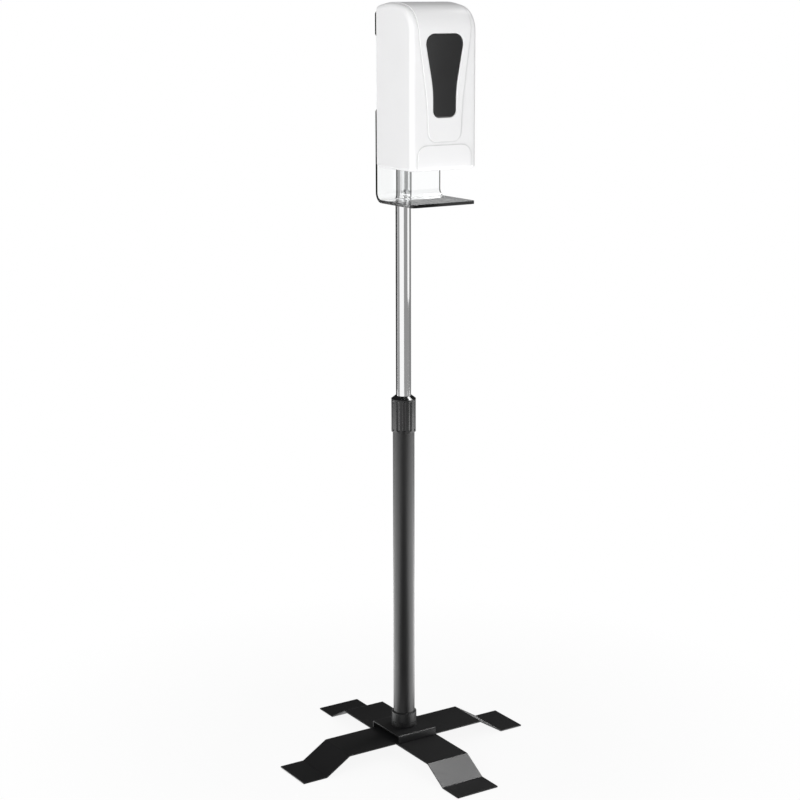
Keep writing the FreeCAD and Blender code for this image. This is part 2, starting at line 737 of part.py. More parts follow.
# Two screws hold the back plate and the tray to the pole, with saddle washers and
# cap nuts behind it
NUT_SEAT = "(pole_od / 2 + saddle_sheet)"
SCREW_SEAT = f"({SHEET_FRONT} + plate_sheet)"
screws, saddles, nuts = [], [], []
for name, level in (("upper", UPPER_SCREW), ("lower", LOWER_SCREW)):
    screws.append(turned(f"{name}_mount_screw", [
        ("0", "-mount_head"), ("(mount_head_od / 2 - mount_head / 2)", "-mount_head"),
        ("(mount_head_od / 2)", "-mount_head / 2"), ("(mount_head_od / 2)", "0"),
        ("(mount_screw / 2)", "0"), ("(mount_screw / 2)", f"({SCREW_SEAT} + {NUT_SEAT} + nut_height)"),
        ("0", f"({SCREW_SEAT} + {NUT_SEAT} + nut_height)"),
    ], upright=False, y=f"-{SCREW_SEAT}", z=level))
    blank = turned(f"{name}_saddle_blank", [
        ("(mount_screw / 2 + mount_play)", "0"), ("(saddle_od / 2)", "0"),
        ("(saddle_od / 2)", NUT_SEAT), ("(mount_screw / 2 + mount_play)", NUT_SEAT),
    ], upright=False, z=level)
    round_pole = doc.addObject("Part::Cylinder", f"{name}_pole_gauge")
    round_pole.setExpression("Radius", ex("pole_od / 2"))
    round_pole.setExpression("Height", ex("saddle_od * 2"))
    round_pole.setExpression("Placement.Base.z", ex(f"{level} - saddle_od"))
    saddles.append(boolean("Cut", f"{name}_saddle", blank, round_pole))
    hexagon = doc.addObject("Part::Prism", f"{name}_nut_hexagon")
    hexagon.Polygon = 6
    hexagon.setExpression("Circumradius", ex("nut_flats / sqrt(3)"))
    hexagon.setExpression("Height", ex("nut_height"))
    hexagon.Placement.Rotation = Rotation(X, -90)
    hexagon.setExpression("Placement.Base.y", ex(NUT_SEAT))
    hexagon.setExpression("Placement.Base.z", ex(level))
    dome = doc.addObject("Part::Sphere", f"{name}_nut_dome")
    dome.setExpression("Radius", ex("nut_dome / 2"))
    dome.setExpression("Placement.Base.y", ex(f"{NUT_SEAT} + nut_height"))
    dome.setExpression("Placement.Base.z", ex(level))
    solid_nut = boolean("Fuse", f"{name}_nut_solid", hexagon, dome)
    bore = turned(f"{name}_nut_bore", [
        ("0", "-nut_height"), ("(mount_screw / 2)", "-nut_height"),
        ("(mount_screw / 2)", "nut_height"), ("0", "nut_height"),
    ], upright=False, y=NUT_SEAT, z=level)
    nuts.append(boolean("Cut", f"{name}_nut", solid_nut, bore))
nodes.append(group("mount_screws", screws))
nodes.append(group("saddle_washers", saddles))
nodes.append(group("cap_nuts", nuts))


# Housing form: flat back, crowned top, rounded front; inset moves every face inwards
def housing_form(label, inset, rear):
    body = new_body(label, **HOUSING)
    sketch = sketch_on(body, "YZ_Plane")
    depth, top = f"(cover_depth - {inset})", f"(cover_height - {inset})"
    crown, front = f"(crown_radius - {inset})", f"(front_radius - {inset})"
    foot = f"({inset})"
    crown_at = Vector(-size("crown_set"), size(f"{top} - {crown}"), 0)
    across = size(f"{front} - {depth} + crown_set")
    reach = size(f"{crown} - {front}")
    front_at = crown_at + Vector(across, math.sqrt(reach ** 2 - across ** 2), 0)
    joint_angle = math.atan2(front_at.y - crown_at.y, front_at.x - crown_at.x)
    joint = crown_at + Vector(math.cos(joint_angle), math.sin(joint_angle), 0) * size(crown)
    back_rise = math.sqrt(size(crown) ** 2 - (size(rear) - crown_at.x) ** 2)
    back_top = Vector(size(rear), crown_at.y + back_rise, 0)
    back_angle = math.atan2(back_rise, size(rear) - crown_at.x)
    back_foot = Vector(size(rear), size(foot), 0)
    front_top = Vector(-size(depth), front_at.y, 0)
    front_foot = Vector(-size(depth), size(foot), 0)
    sketch.addGeometry(Part.LineSegment(back_foot, back_top), False)
    crown_ring = Part.Circle(crown_at, Z, size(crown))
    sketch.addGeometry(Part.ArcOfCircle(crown_ring, back_angle, joint_angle), False)
    front_ring = Part.Circle(front_at, Z, (joint - front_at).Length)
    sketch.addGeometry(Part.ArcOfCircle(front_ring, joint_angle, math.pi), False)
    sketch.addGeometry(Part.LineSegment(front_top, front_foot), False)
    sketch.addGeometry(Part.LineSegment(front_foot, back_foot), False)
    for rule in (("Coincident", 0, 2, 1, 1), ("Tangent", 1, 2, 2, 1), ("Tangent", 2, 2, 3, 1),
                 ("Coincident", 3, 2, 4, 1), ("Coincident", 4, 2, 0, 1), ("Vertical", 0),
                 ("Vertical", 3), ("Horizontal", 4)):
        sketch.addConstraint(Sketcher.Constraint(*rule))
    fix_value(sketch, Sketcher.Constraint("Radius", 1, size(crown)), crown)
    fix_value(sketch, Sketcher.Constraint("Radius", 2, size(front)), front)
    fix_point(sketch, 1, 3, "-crown_set", f"({top} - {crown})")
    fix_point(sketch, 0, 1, rear, foot)
    fix_value(sketch, Sketcher.Constraint("DistanceX", -1, 1, 3, 2, -size(depth)), f"-{depth}")
    pad(body, sketch, f"cover_width - {inset} * 2", side="Symmetric")
    half, rear_at, foot_at = size(f"cover_width / 2 - {inset}"), size(rear), size(foot)

    def on_foot(edge):
        return all(near(vertex.Z, foot_at) for vertex in edge.Vertexes) and near(middle(edge).z, foot_at)

    def on_back(edge):
        return all(near(vertex.Y, rear_at) for vertex in edge.Vertexes)

    fillet(body, f"side_round - {inset}", lambda edge: near(abs(middle(edge).x), half)
           and not on_foot(edge) and not on_back(edge))
    fillet(body, f"foot_round - {inset}", lambda edge: on_foot(edge) and not on_back(edge))
    return body


def block(label, corners, rounds, plane="XZ_Plane", length="cover_depth * 2", offset=None, side="Symmetric"):
    """An outline pushed through the housing, its corners rounded at given places."""
    body = new_body(label, **HOUSING)
    sketch = sketch_on(body, plane, offset=offset)
    polygon(sketch, corners)
    pad(body, sketch, length, side=side)
    across = Y if plane == "XZ_Plane" else X if plane == "YZ_Plane" else Z
    for x, z, radius in rounds:
        x_at, z_at = size(x), size(z)
        fillet(body, radius, lambda edge: straight(edge, across)
               and near(abs(middle(edge).x), x_at) and near(middle(edge).z, z_at))
    return body


def window_outline(label, grow, length, offset, side):
    """The window's hour-glass outline, grown all round by a formula."""
    foot, top = f"(window_foot - {grow})", f"({WINDOW_TOP} + {grow})"
    low, high = f"(window_foot_half + {grow})", f"(window_top_half + {grow})"
    return block(label, mirrored([(low, foot), (low, WINDOW_WAIST), (high, top)]),
                 [(low, foot, f"window_foot_corner + {grow}"),
                  (low, WINDOW_WAIST, f"window_sweep - {grow}"),
                  (high, top, f"window_top_corner + {grow}")],
                 length=length, offset=offset, side=side)


# Front cover: a white moulded shell with a raised tongue over its front and top, a
# raised arch at its foot, a window opening, hinge bosses inside and a hole for the lock
outer_form = housing_form("cover_outer_form", "0", "-cover_gap")
inner_form = housing_form("cover_inner_form", "cover_wall", "cover_wall")
TONGUE_SHOULDER = "(cover_height - tongue_shoulder_drop)"
TONGUE_WAIST = f"({TONGUE_SHOULDER} - tongue_swell)"
grown_form = housing_form("cover_grown_form", "(0 - panel_raise)", "-cover_gap")
tongue_outline = block("tongue_outline", mirrored([
    ("tongue_foot_half", "tongue_foot"), ("tongue_waist_half", TONGUE_WAIST),
    ("tongue_shoulder_half", TONGUE_SHOULDER), ("tongue_top_half", "(cover_height + tongue_foot)"),
]), [("tongue_foot_half", "tongue_foot", "tongue_corner"),
     ("tongue_shoulder_half", TONGUE_SHOULDER, "tongue_sweep")])
arch_outline = block("arch_outline", mirrored([("arch_half", "arch_foot"), ("arch_half", "arch_top")]),
                     [("arch_half", "arch_top", "arch_corner")])
tongue_panel = boolean("Common", "tongue_panel", grown_form, tongue_outline)
arch_panel = boolean("Common", "arch_panel", grown_form, arch_outline)
skin = boolean("Fuse", "cover_skin", outer_form, tongue_panel, arch_panel)
shell = boolean("Cut", "cover_shell", skin, inner_form)


def cross_pin(label, radius, start, length, y=HINGE_Y, z="hinge_inset", side=1):
    """A round bar along X at the hinge axis, starting at |x| = start."""
    bar = doc.addObject("Part::Cylinder", label)
    bar.Label = label
    bar.setExpression("Radius", ex(radius))
    bar.setExpression("Height", ex(length))
    bar.Placement.Rotation = Rotation(Y, 90 * side)
    bar.setExpression("Placement.Base.x", ex(f"{side} * ({start})"))
    bar.setExpression("Placement.Base.y", ex(f"-{SHEET_FRONT} - {y}"))
    bar.setExpression("Placement.Base.z", ex(f"{HOUSING_FOOT} + {z}"))
    return bar


WALL_IN = "(cover_width / 2 - cover_wall)"
EAR_OUT = "(plate_tongue_half + hinge_side_gap + ear_sheet)"
BOSS_START = f"({EAR_OUT} + hinge_side_gap)"
PIN_START = f"({EAR_OUT} - ear_sheet)"
PIN_LENGTH = f"({WALL_IN} + pin_bite - {PIN_START})"
bosses = [cross_pin(f"{name}_hinge_boss", "hinge_boss / 2", BOSS_START,
                    f"{WALL_IN} + pin_bite / 2 - {BOSS_START}", side=side)
          for name, side in (("left", -1), ("right", 1))]
pin_bores = [cross_pin(f"{name}_pin_bore", "hinge_pin / 2 + hinge_run", BOSS_START + " - 1",
                       f"{WALL_IN} + pin_bite + hinge_side_gap - {BOSS_START} + 1", side=side)
             for name, side in (("left", -1), ("right", 1))]
with_bosses = boolean("Fuse", "cover_with_bosses", shell, *bosses)
window_hole = window_outline("window_hole", "0", "cover_wall * 4", "cover_depth - cover_wall * 2", "One side")
LIP_IN = "(cover_width / 2 - foot_lip)"
foot_hole = block("cover_foot_hole", [
    (LIP_IN, "(foot_lip - cover_depth)"), (LIP_IN, "-foot_lip_rear"), (WALL_IN, "-foot_lip_rear"),
    (WALL_IN, "cover_wall"), (f"-{WALL_IN}", "cover_wall"), (f"-{WALL_IN}", "-foot_lip_rear"),
    (f"-{LIP_IN}", "-foot_lip_rear"), (f"-{LIP_IN}", "(foot_lip - cover_depth)"),
], [], plane="XY_Plane", length="cover_wall * 2.2")
corner_square = block("hinge_corner_square", [
    ("(-cover_gap - hinge_inset)", "-cover_wall"), ("cover_wall", "-cover_wall"),
    ("cover_wall", "hinge_inset"), ("(-cover_gap - hinge_inset)", "hinge_inset"),
], [], plane="YZ_Plane", length="cover_width * 1.2")
corner_round = cross_pin("hinge_corner_round", "hinge_inset", "-cover_width * 0.7", "cover_width * 1.4")
corner_waste = boolean("Cut", "hinge_corner_waste", corner_square, corner_round)
lock_bore = doc.addObject("Part::Cylinder", "lock_bore")
lock_bore.setExpression("Radius", ex("lock_dia / 2 + lock_run"))
lock_bore.setExpression("Height", ex("cover_wall * 6"))
lock_bore.setExpression("Placement.Base.y", ex(f"-{SHEET_FRONT} - lock_set"))
lock_bore.setExpression("Placement.Base.z", ex(f"{HOUSING_FOOT} + cover_height - cover_wall * 3"))
nodes.append(boolean("Cut", "front_cover", with_bosses, window_hole, foot_hole, corner_waste,
                     lock_bore, *pin_bores))

# Window: smoked plastic, pushed in from behind until its flange meets the cover
WINDOW_BODY = "(cover_wall + panel_raise - window_recess)"
window_face = window_outline("window_face", "(0 - window_fit)", WINDOW_BODY,
                             "cover_depth - cover_wall", "One side")
window_rim = window_outline("window_rim", "window_flange", "window_flange_sheet",
                            "cover_depth - cover_wall - window_flange_sheet", "One side")
nodes.append(boolean("Fuse", "smoked_window", window_face, window_rim))

# Hinge pins: pressed into the back plate's ears, the cover turns on them
for name, side in (("left", -1), ("right", 1)):
    nodes.append(cross_pin(f"hinge_pin_{name}", "hinge_pin / 2", PIN_START, PIN_LENGTH, side=side))

# Back plate: moulded, with two hinge ears at its foot and the catch for the lock
plate = new_body("back_plate", **HOUSING)
PLATE_HALF = "(cover_width / 2 - cover_wall - plate_side_gap)"
PLATE_TOP = ("(cover_height - crown_radius + sqrt((crown_radius - cover_wall)^2 - crown_set^2)"
             " - plate_top_gap)")
outline = sketch_on(plate, "XZ_Plane")
polygon(outline, mirrored([("plate_tongue_half", "case_foot"), ("plate_tongue_half", "plate_ear_foot"),
                           (PLATE_HALF, "plate_ear_foot"), (PLATE_HALF, PLATE_TOP)]))
pad(plate, outline, "plate_sheet")
fillet(plate, "plate_corner", lambda edge: straight(edge, Y) and near(middle(edge).z, size(PLATE_TOP)))
for start in (PIN_START, f"-{EAR_OUT}"):
    ear = sketch_on(plate, "YZ_Plane", offset=start)
    polygon(ear, [(f"(ear_half - {HINGE_Y})", "(hinge_inset - ear_half)"),
                  (f"(ear_half - {HINGE_Y})", "ear_top"), ("-plate_sheet", "ear_top"),
                  (f"(-ear_half - {HINGE_Y})", "(hinge_inset + ear_half)"),
                  (f"(-ear_half - {HINGE_Y})", "(hinge_inset - ear_half)")])
    pad(plate, ear, "ear_sheet")
ear_bore = sketch_on(plate, "YZ_Plane")
circle(ear_bore, f"-{HINGE_Y}", "hinge_inset", "hinge_pin / 2")
pocket(plate, ear_bore)
CATCH_FACE = "(lock_set + cam_width / 2 + catch_gap)"
ARM_TOP = f"({CAM_LEVEL} - catch_drop)"
catch = sketch_on(plate, "YZ_Plane", offset="catch_start")
polygon(catch, [("-plate_sheet / 2", f"({ARM_TOP} - catch_sheet)"),
                (f"(-{CATCH_FACE} - catch_sheet)", f"({ARM_TOP} - catch_sheet)"),
                (f"(-{CATCH_FACE} - catch_sheet)", f"({CAM_LEVEL} + cam_sheet + catch_rise)"),
                (f"-{CATCH_FACE}", f"({CAM_LEVEL} + cam_sheet + catch_rise)"),
                (f"-{CATCH_FACE}", ARM_TOP), ("-plate_sheet / 2", ARM_TOP)])
pad(plate, catch, "catch_width")
holes = sketch_on(plate, "XZ_Plane")
for level in (UPPER_SCREW, LOWER_SCREW):
    circle(holes, "0", f"{level} - {HOUSING_FOOT}", "mount_screw / 2 + mount_play")
for side in ("-", ""):
    circle(holes, f"{side}case_screw_half", "case_screw_level", "small_screw / 2")
pocket(plate, holes)
nodes.append(plate)

# Lock: a key barrel flush with the cover's top, with a cam on its lower end; the cam
# points back when the cover is free and turns sideways behind the catch to lock it
BARREL_FOOT = f"({CAM_LEVEL} + cam_sheet)"
BARREL_TOP = f"({CROWN_CENTRE} + sqrt((crown_radius + panel_raise)^2 - (crown_set - lock_set)^2))"
LOCK_SPOT = {"y": f"-{SHEET_FRONT} - lock_set"}
barrel = turned("lock_barrel", [
    ("(cam_screw / 2)", "0"), ("(lock_dia / 2)", "0"),
    ("(lock_dia / 2)", f"({BARREL_TOP} - {BARREL_FOOT})"), ("0", f"({BARREL_TOP} - {BARREL_FOOT})"),
    ("0", "cam_screw_bite"), ("(cam_screw / 2)", "cam_screw_bite"),
], z=f"{HOUSING_FOOT} + {BARREL_FOOT}", **LOCK_SPOT)
keyway = sketch_on(barrel, "XY_Plane", offset=f"{BARREL_TOP} - {BARREL_FOOT}")
rectangle(keyway, "-key_slot / 2", "key_slot / 2", "-key_slot_length / 2", "key_slot_length / 2")
pocket(barrel, keyway, "key_slot_depth", side="One side")
nodes.append(barrel)
cam = new_body("lock_cam", z=f"{HOUSING_FOOT} + {CAM_LEVEL}", **LOCK_SPOT)
outline = sketch_on(cam, "XY_Plane")
rectangle(outline, "-cam_width / 2", "cam_width / 2", "-cam_width / 2", "cam_reach")
circle(outline, "0", "0", "cam_screw / 2")
pad(cam, outline, "cam_sheet")
fillet(cam, "cam_corner", lambda edge: straight(edge, Z) and middle(edge).y < 0)
nodes.append(cam)
nodes.append(turned("cam_screw_piece", [
    ("0", "-cam_screw_head"), ("(cam_screw - cam_screw_head / 2)", "-cam_screw_head"),
    ("cam_screw", "0"), ("(cam_screw / 2)", "0"), ("(cam_screw / 2)", "(cam_sheet + cam_screw_bite)"),
    ("0", "(cam_sheet + cam_screw_bite)"),
], z=f"{HOUSING_FOOT} + {CAM_LEVEL}", **LOCK_SPOT))
nodes[-1].Label = "cam_screw"

# Module case: a moulded box below the bottle, open at the front, screwed to the back plate
case = new_body("module_case", **HOUSING)
outline = sketch_on(case, "XY_Plane", offset="case_foot")
rectangle(outline, "-case_width / 2", "case_width / 2", f"-{CASE_FRONT}", "-plate_sheet")
pad(case, outline, "case_height")
fillet(case, "case_corner", lambda edge: straight(edge, Z) and near(middle(edge).y, -size("plate_sheet")))
inside = sketch_on(case, "XZ_Plane", offset=CASE_FRONT)
CASE_IN = "(case_width / 2 - case_wall)"
POST_TOP = f"({CASE_FLOOR} + post_height)"
polygon(inside, mirrored([(f"({CASE_IN} - post_width)", CASE_FLOOR), (f"({CASE_IN} - post_width)", POST_TOP),
                          (CASE_IN, POST_TOP), (CASE_IN, f"({CASE_TOP} - case_wall)")]))
pocket(case, inside, "case_depth - case_wall", side="One side")
screw_holes = sketch_on(case, "XZ_Plane")
for side in ("-", ""):
    circle(screw_holes, f"{side}case_screw_half", "case_screw_level", "small_screw / 2")
pocket(case, screw_holes, f"{CASE_FRONT} * 2")
post_holes = sketch_on(case, "XZ_Plane", offset=CASE_FRONT)
LID_SCREW_X = f"({CASE_IN} - post_width / 2)"
LID_SCREW_Z = "(case_foot + lid_screw_level)"
for side in ("-", ""):
    circle(post_holes, side + LID_SCREW_X, LID_SCREW_Z, "small_screw / 2")
pocket(case, post_holes, "lid_screw_length - lid_sheet", side="One side")
outlet_hole = sketch_on(case, "XY_Plane", offset=CASE_TOP)
circle(outlet_hole, "0", "-pump_set", "outlet_dia / 2 + nozzle_play")
pocket(case, outlet_hole, "case_wall * 2", side="One side")
floor_holes = sketch_on(case, "XY_Plane", offset=CASE_FLOOR)
circle(floor_holes, "0", "-pump_set", "nozzle_dia / 2 + nozzle_play")
LENS_HALF = "(lens_width / 2 + lens_play)"
rectangle(floor_holes, "-" + LENS_HALF, LENS_HALF, "(-lens_set - lens_depth / 2 - lens_play)",
          "(-lens_set + lens_depth / 2 + lens_play)")
pocket(case, floor_holes, "case_wall * 2", side="One side")
nodes.append(case)


def small_screws(label, spots, length):
    """Pan-head screws lying along Y, their heads towards the front."""
    pieces = []
    for i, (x, y, z) in enumerate(spots):
        piece = turned(f"{label}_{i}", [
            ("0", "-small_head"), ("(small_head_od / 2 - small_head / 2)", "-small_head"),
            ("(small_head_od / 2)", "-small_head / 2"), ("(small_head_od / 2)", "0"),
            ("(small_screw / 2)", "0"), ("(small_screw / 2)", length), ("0", length),
        ], upright=False, x=x, y=f"-{SHEET_FRONT} - {y}", z=f"{HOUSING_FOOT} + {z}")
        pieces.append(piece)
    nodes.append(group(label, pieces))


small_screws("case_screws", [(f"{side}case_screw_half", "(plate_sheet + case_wall)", "case_screw_level")
                             for side in ("-", "")], "(plate_sheet + case_wall)")

# Module lid: closes the case, with the battery opening, the door's rails, the switch
# slot and the hole for the indicator
DOOR_FOOT = f"({BAY_FOOT} - door_lap)"
DOOR_TOP = f"({CASE_TOP} - rail_sheet - door_play)"
DOOR_BACK = f"({LID_FRONT} + door_play)"
LIP_BACK = f"({DOOR_BACK} + door_sheet + door_play)"
lid = new_body("module_lid", **HOUSING)
outline = sketch_on(lid, "XZ_Plane", offset=CASE_FRONT)
rectangle(outline, "-case_width / 2", "case_width / 2", "case_foot", CASE_TOP)
pad(lid, outline, "lid_sheet")
rails = sketch_on(lid, "YZ_Plane")
LIP_FRONT = f"(-{LIP_BACK} - rail_lip_sheet)"
LOW_LIP_TOP, TOP_LIP_FOOT = f"({DOOR_FOOT} + rail_lip)", f"({DOOR_TOP} - rail_lip)"
polygon(rails, [(f"-{CASE_FRONT} - lid_sheet / 2", f"({DOOR_FOOT} - door_play - rail_sheet)"),
                (LIP_FRONT, f"({DOOR_FOOT} - door_play - rail_sheet)"), (LIP_FRONT, LOW_LIP_TOP),
                (f"-{LIP_BACK}", LOW_LIP_TOP), (f"-{LIP_BACK}", f"({DOOR_FOOT} - door_play)"),
                (f"-{CASE_FRONT} - lid_sheet / 2", f"({DOOR_FOOT} - door_play)")])
polygon(rails, [(f"-{CASE_FRONT} - lid_sheet / 2", CASE_TOP), (LIP_FRONT, CASE_TOP),
                (LIP_FRONT, TOP_LIP_FOOT), (f"-{LIP_BACK}", TOP_LIP_FOOT),
                (f"-{LIP_BACK}", f"({DOOR_TOP} + door_play)"),
                (f"-{CASE_FRONT} - lid_sheet / 2", f"({DOOR_TOP} + door_play)")])
pad(lid, rails, "case_width", side="Symmetric")
cuts = sketch_on(lid, "XZ_Plane", offset=f"{CASE_FRONT} - lid_sheet")
rectangle(cuts, f"-{BAY_LEFT}", f"({BAY_WIDTH} - {BAY_LEFT})", BAY_FOOT, BAY_TOP)
SLOT_HALF = "(knob_height / 2 + knob_play)"
SLOT_LEFT = "(switch_set - knob_width / 2 - knob_play)"
SLOT_RIGHT = "(switch_set + knob_width / 2 + switch_travel + knob_play)"
rectangle(cuts, SLOT_LEFT, SLOT_RIGHT, f"({PANEL_LEVEL} - {SLOT_HALF})", f"({PANEL_LEVEL} + {SLOT_HALF})")
circle(cuts, "indicator_set", PANEL_LEVEL, "indicator_dia / 2")
for side in ("-", ""):
    circle(cuts, side + LID_SCREW_X, LID_SCREW_Z, "small_screw / 2")
pocket(lid, cuts, "lid_sheet * 4")
nodes.append(lid)
small_screws("lid_screws", [(side + LID_SCREW_X, LID_FRONT, LID_SCREW_Z) for side in ("-", "")],
             "lid_screw_length")

# Battery box: an open moulded bay inside the case, its mouth against the lid
bay = new_body("battery_box", **HOUSING)
outline = sketch_on(bay, "XZ_Plane", offset=f"{CASE_FRONT} - bay_depth - bay_wall")
rectangle(outline, f"(-{BAY_LEFT} - bay_wall)", f"({BAY_WIDTH} - {BAY_LEFT} + bay_wall)",
          f"({BAY_FOOT} - bay_wall)", f"({BAY_TOP} + bay_wall)")
pad(bay, outline, "bay_depth + bay_wall")
inside = sketch_on(bay, "XZ_Plane", offset=CASE_FRONT)
rectangle(inside, f"-{BAY_LEFT}", f"({BAY_WIDTH} - {BAY_LEFT})", BAY_FOOT, BAY_TOP)
pocket(bay, inside, "bay_depth", side="One side")
nodes.append(bay)

# Cells and their contact strips
CELL_Y = f"({CASE_FRONT} - bay_depth / 2)"
for i in range(int(size("cell_count"))):
    nodes.append(turned(f"battery_{i + 1}", [
        ("0", "0"), ("(cell_dia / 2)", "0"), ("(cell_dia / 2)", "cell_length"),
        ("(cell_nub / 2)", "cell_length"), ("(cell_nub / 2)", "(cell_length + cell_nub_height)"),
        ("0", "(cell_length + cell_nub_height)"),
    ], x=f"cell_pitch * ({i} + 1 / 2) - {BAY_LEFT}", y=f"-{SHEET_FRONT} - {CELL_Y}",
        z=f"{HOUSING_FOOT} + {BAY_FOOT} + contact_sheet"))
for name, foot, sheet in (("lower_contact", BAY_FOOT, "contact_sheet"),
                          ("upper_contact", f"({BAY_TOP} - contact_spring)", "contact_spring")):
    contact = new_body(name, **HOUSING)
    outline = sketch_on(contact, "XY_Plane", offset=foot)
    rectangle(outline, f"-{BAY_LEFT}", f"({BAY_WIDTH} - {BAY_LEFT})",
              f"(-{CELL_Y} - cell_dia / 3)", f"(-{CELL_Y} + cell_dia / 3)")
    pad(contact, outline, sheet)
    nodes.append(contact)

# Battery door: slides sideways in the lid's rails, with grip grooves at its left end
door = new_body("battery_door", **HOUSING)
DOOR_LEFT = f"(-{BAY_LEFT} - door_side_lap)"
DOOR_RIGHT = f"({BAY_WIDTH} - {BAY_LEFT} + door_side_lap)"
outline = sketch_on(door, "XZ_Plane", offset=DOOR_BACK)
rectangle(outline, DOOR_LEFT, DOOR_RIGHT, DOOR_FOOT, DOOR_TOP)
pad(door, outline, "door_sheet")
grips = sketch_on(door, "XZ_Plane", offset=f"{DOOR_BACK} + door_sheet")
GRIP_FOOT = f"(({DOOR_FOOT} + {DOOR_TOP}) / 2 - cell_dia)"
for i in range(int(size("grip_count"))):
    left = f"({DOOR_LEFT} + grip_pitch * ({i} + 1))"
    rectangle(grips, left, f"({left} + grip_width)", GRIP_FOOT, f"({GRIP_FOOT} + cell_dia * 2)")
pocket(door, grips, "grip_depth", side="One side")
nodes.append(door)

# Pump head and motor: the head stands on the case's floor over the nozzle
pump = new_body("pump_head", y=f"-{SHEET_FRONT} - pump_set", z=f"{HOUSING_FOOT} + {CASE_FLOOR}")
outline = sketch_on(pump, "XY_Plane")
rectangle(outline, "-pump_width / 2", "pump_width / 2", "-pump_depth / 2", "pump_depth / 2")
pad(pump, outline, "pump_height")
fillet(pump, "pump_corner", lambda edge: straight(edge, Z))
nodes.append(pump)
nodes.append(cross_pin("pump_motor", "motor_dia / 2", "pump_width / 2", "motor_length", y="pump_set",
                       z=f"({CASE_FLOOR} + motor_dia / 2 + motor_lift)"))

# Suction pipe, valve seal and nozzle
SEAL_FOOT = f"({CASE_TOP} - case_wall - seal_height)"
OUTLET_FOOT = f"({CASE_TOP} - outlet_length)"
PIPE_FOOT = f"({CASE_FLOOR} + pump_height)"
PUMP_SPOT = {"y": f"-{SHEET_FRONT} - pump_set"}
nodes.append(turned("suction_pipe", [
    ("(nozzle_bore / 2)", "0"), ("(tube_pipe / 2)", "0"),
    ("(tube_pipe / 2)", f"({SEAL_FOOT} + pipe_bite * 3 - {PIPE_FOOT})"),
    ("(nozzle_bore / 2)", f"({SEAL_FOOT} + pipe_bite * 3 - {PIPE_FOOT})"),
], z=f"{HOUSING_FOOT} + {PIPE_FOOT}", **PUMP_SPOT))
nodes.append(turned("valve_seal", [
    ("(tube_pipe / 2)", "0"), ("(seal_od / 2)", "0"), ("(seal_od / 2)", "seal_height"),
    ("(outlet_dia / 2)", "seal_height"), ("(outlet_dia / 2)", f"({OUTLET_FOOT} - {SEAL_FOOT})"),
    ("(tube_pipe / 2)", f"({OUTLET_FOOT} - {SEAL_FOOT})"),
], z=f"{HOUSING_FOOT} + {SEAL_FOOT}", **PUMP_SPOT))
nodes.append(turned("nozzle", [
    ("(nozzle_bore / 2)", "-nozzle_reach"), ("(nozzle_tip / 2)", "-nozzle_reach"),
    ("(nozzle_dia / 2)", "-case_wall"), ("(nozzle_dia / 2)", "0"), ("(nozzle_bore / 2)", "0"),
], z=f"{HOUSING_FOOT} + {CASE_FLOOR}", **PUMP_SPOT))

# Sensor lens in the case's floor and the circuit board on it
lens = new_body("sensor_lens", **HOUSING)
outline = sketch_on(lens, "XY_Plane", offset="case_foot - lens_drop")
rectangle(outline, "-lens_width / 2", "lens_width / 2", "(-lens_set - lens_depth / 2)",
          "(-lens_set + lens_depth / 2)")
pad(lens, outline, "lens_drop + case_wall + lens_rise")
fillet(lens, "lens_corner", lambda edge: straight(edge, Z))
nodes.append(lens)
board = new_body("circuit_board", **HOUSING)
outline = sketch_on(board, "XY_Plane", offset=BOARD_FOOT)
rectangle(outline, "-board_half", "board_half", "(-lens_set - board_depth / 2)",
          "(-lens_set + board_depth / 2)")
pad(board, outline, "board_sheet")
nodes.append(board)

# Slide switch: its body stands on the board, its knob passes through the lid
SWITCH_FRONT = "(lens_set + board_depth / 2)"
FLANGE_FRONT = f"({CASE_FRONT} - knob_play)"
switch = new_body("switch_body", **HOUSING)
outline = sketch_on(switch, "XY_Plane", offset=f"{BOARD_FOOT} + board_sheet")
rectangle(outline, "(switch_set + switch_travel / 2 - switch_width / 2)",
          "(switch_set + switch_travel / 2 + switch_width / 2)",
          f"-{SWITCH_FRONT}", f"(switch_depth - {SWITCH_FRONT})")
pad(switch, outline, "switch_height")
nodes.append(switch)
knob = new_body("switch_knob", **HOUSING)
for half, tall, start, length in (
        ("(knob_width / 2 + knob_flange)", "(knob_height / 2 + knob_flange)",
         f"({SWITCH_FRONT} + knob_play)", f"{FLANGE_FRONT} - {SWITCH_FRONT} - knob_play"),
        ("(knob_width / 2)", "(knob_height / 2)", FLANGE_FRONT, "knob_play + lid_sheet + knob_stand")):
    outline = sketch_on(knob, "XZ_Plane", offset=start)
    rectangle(outline, f"(switch_set - {half})", f"(switch_set + {half})",
              f"({PANEL_LEVEL} - {tall})", f"({PANEL_LEVEL} + {tall})")
    pad(knob, outline, length)
nodes.append(knob)
nodes.append(turned("indicator_lens", [
    ("0", "-indicator_stand"), ("(indicator_dia / 2)", "-indicator_stand"),
    ("(indicator_dia / 2)", "lid_sheet"), ("0", "lid_sheet"),
], upright=False, x="indicator_set", y=f"-{SHEET_FRONT} - {LID_FRONT}", z=f"{HOUSING_FOOT} + {PANEL_LEVEL}"))

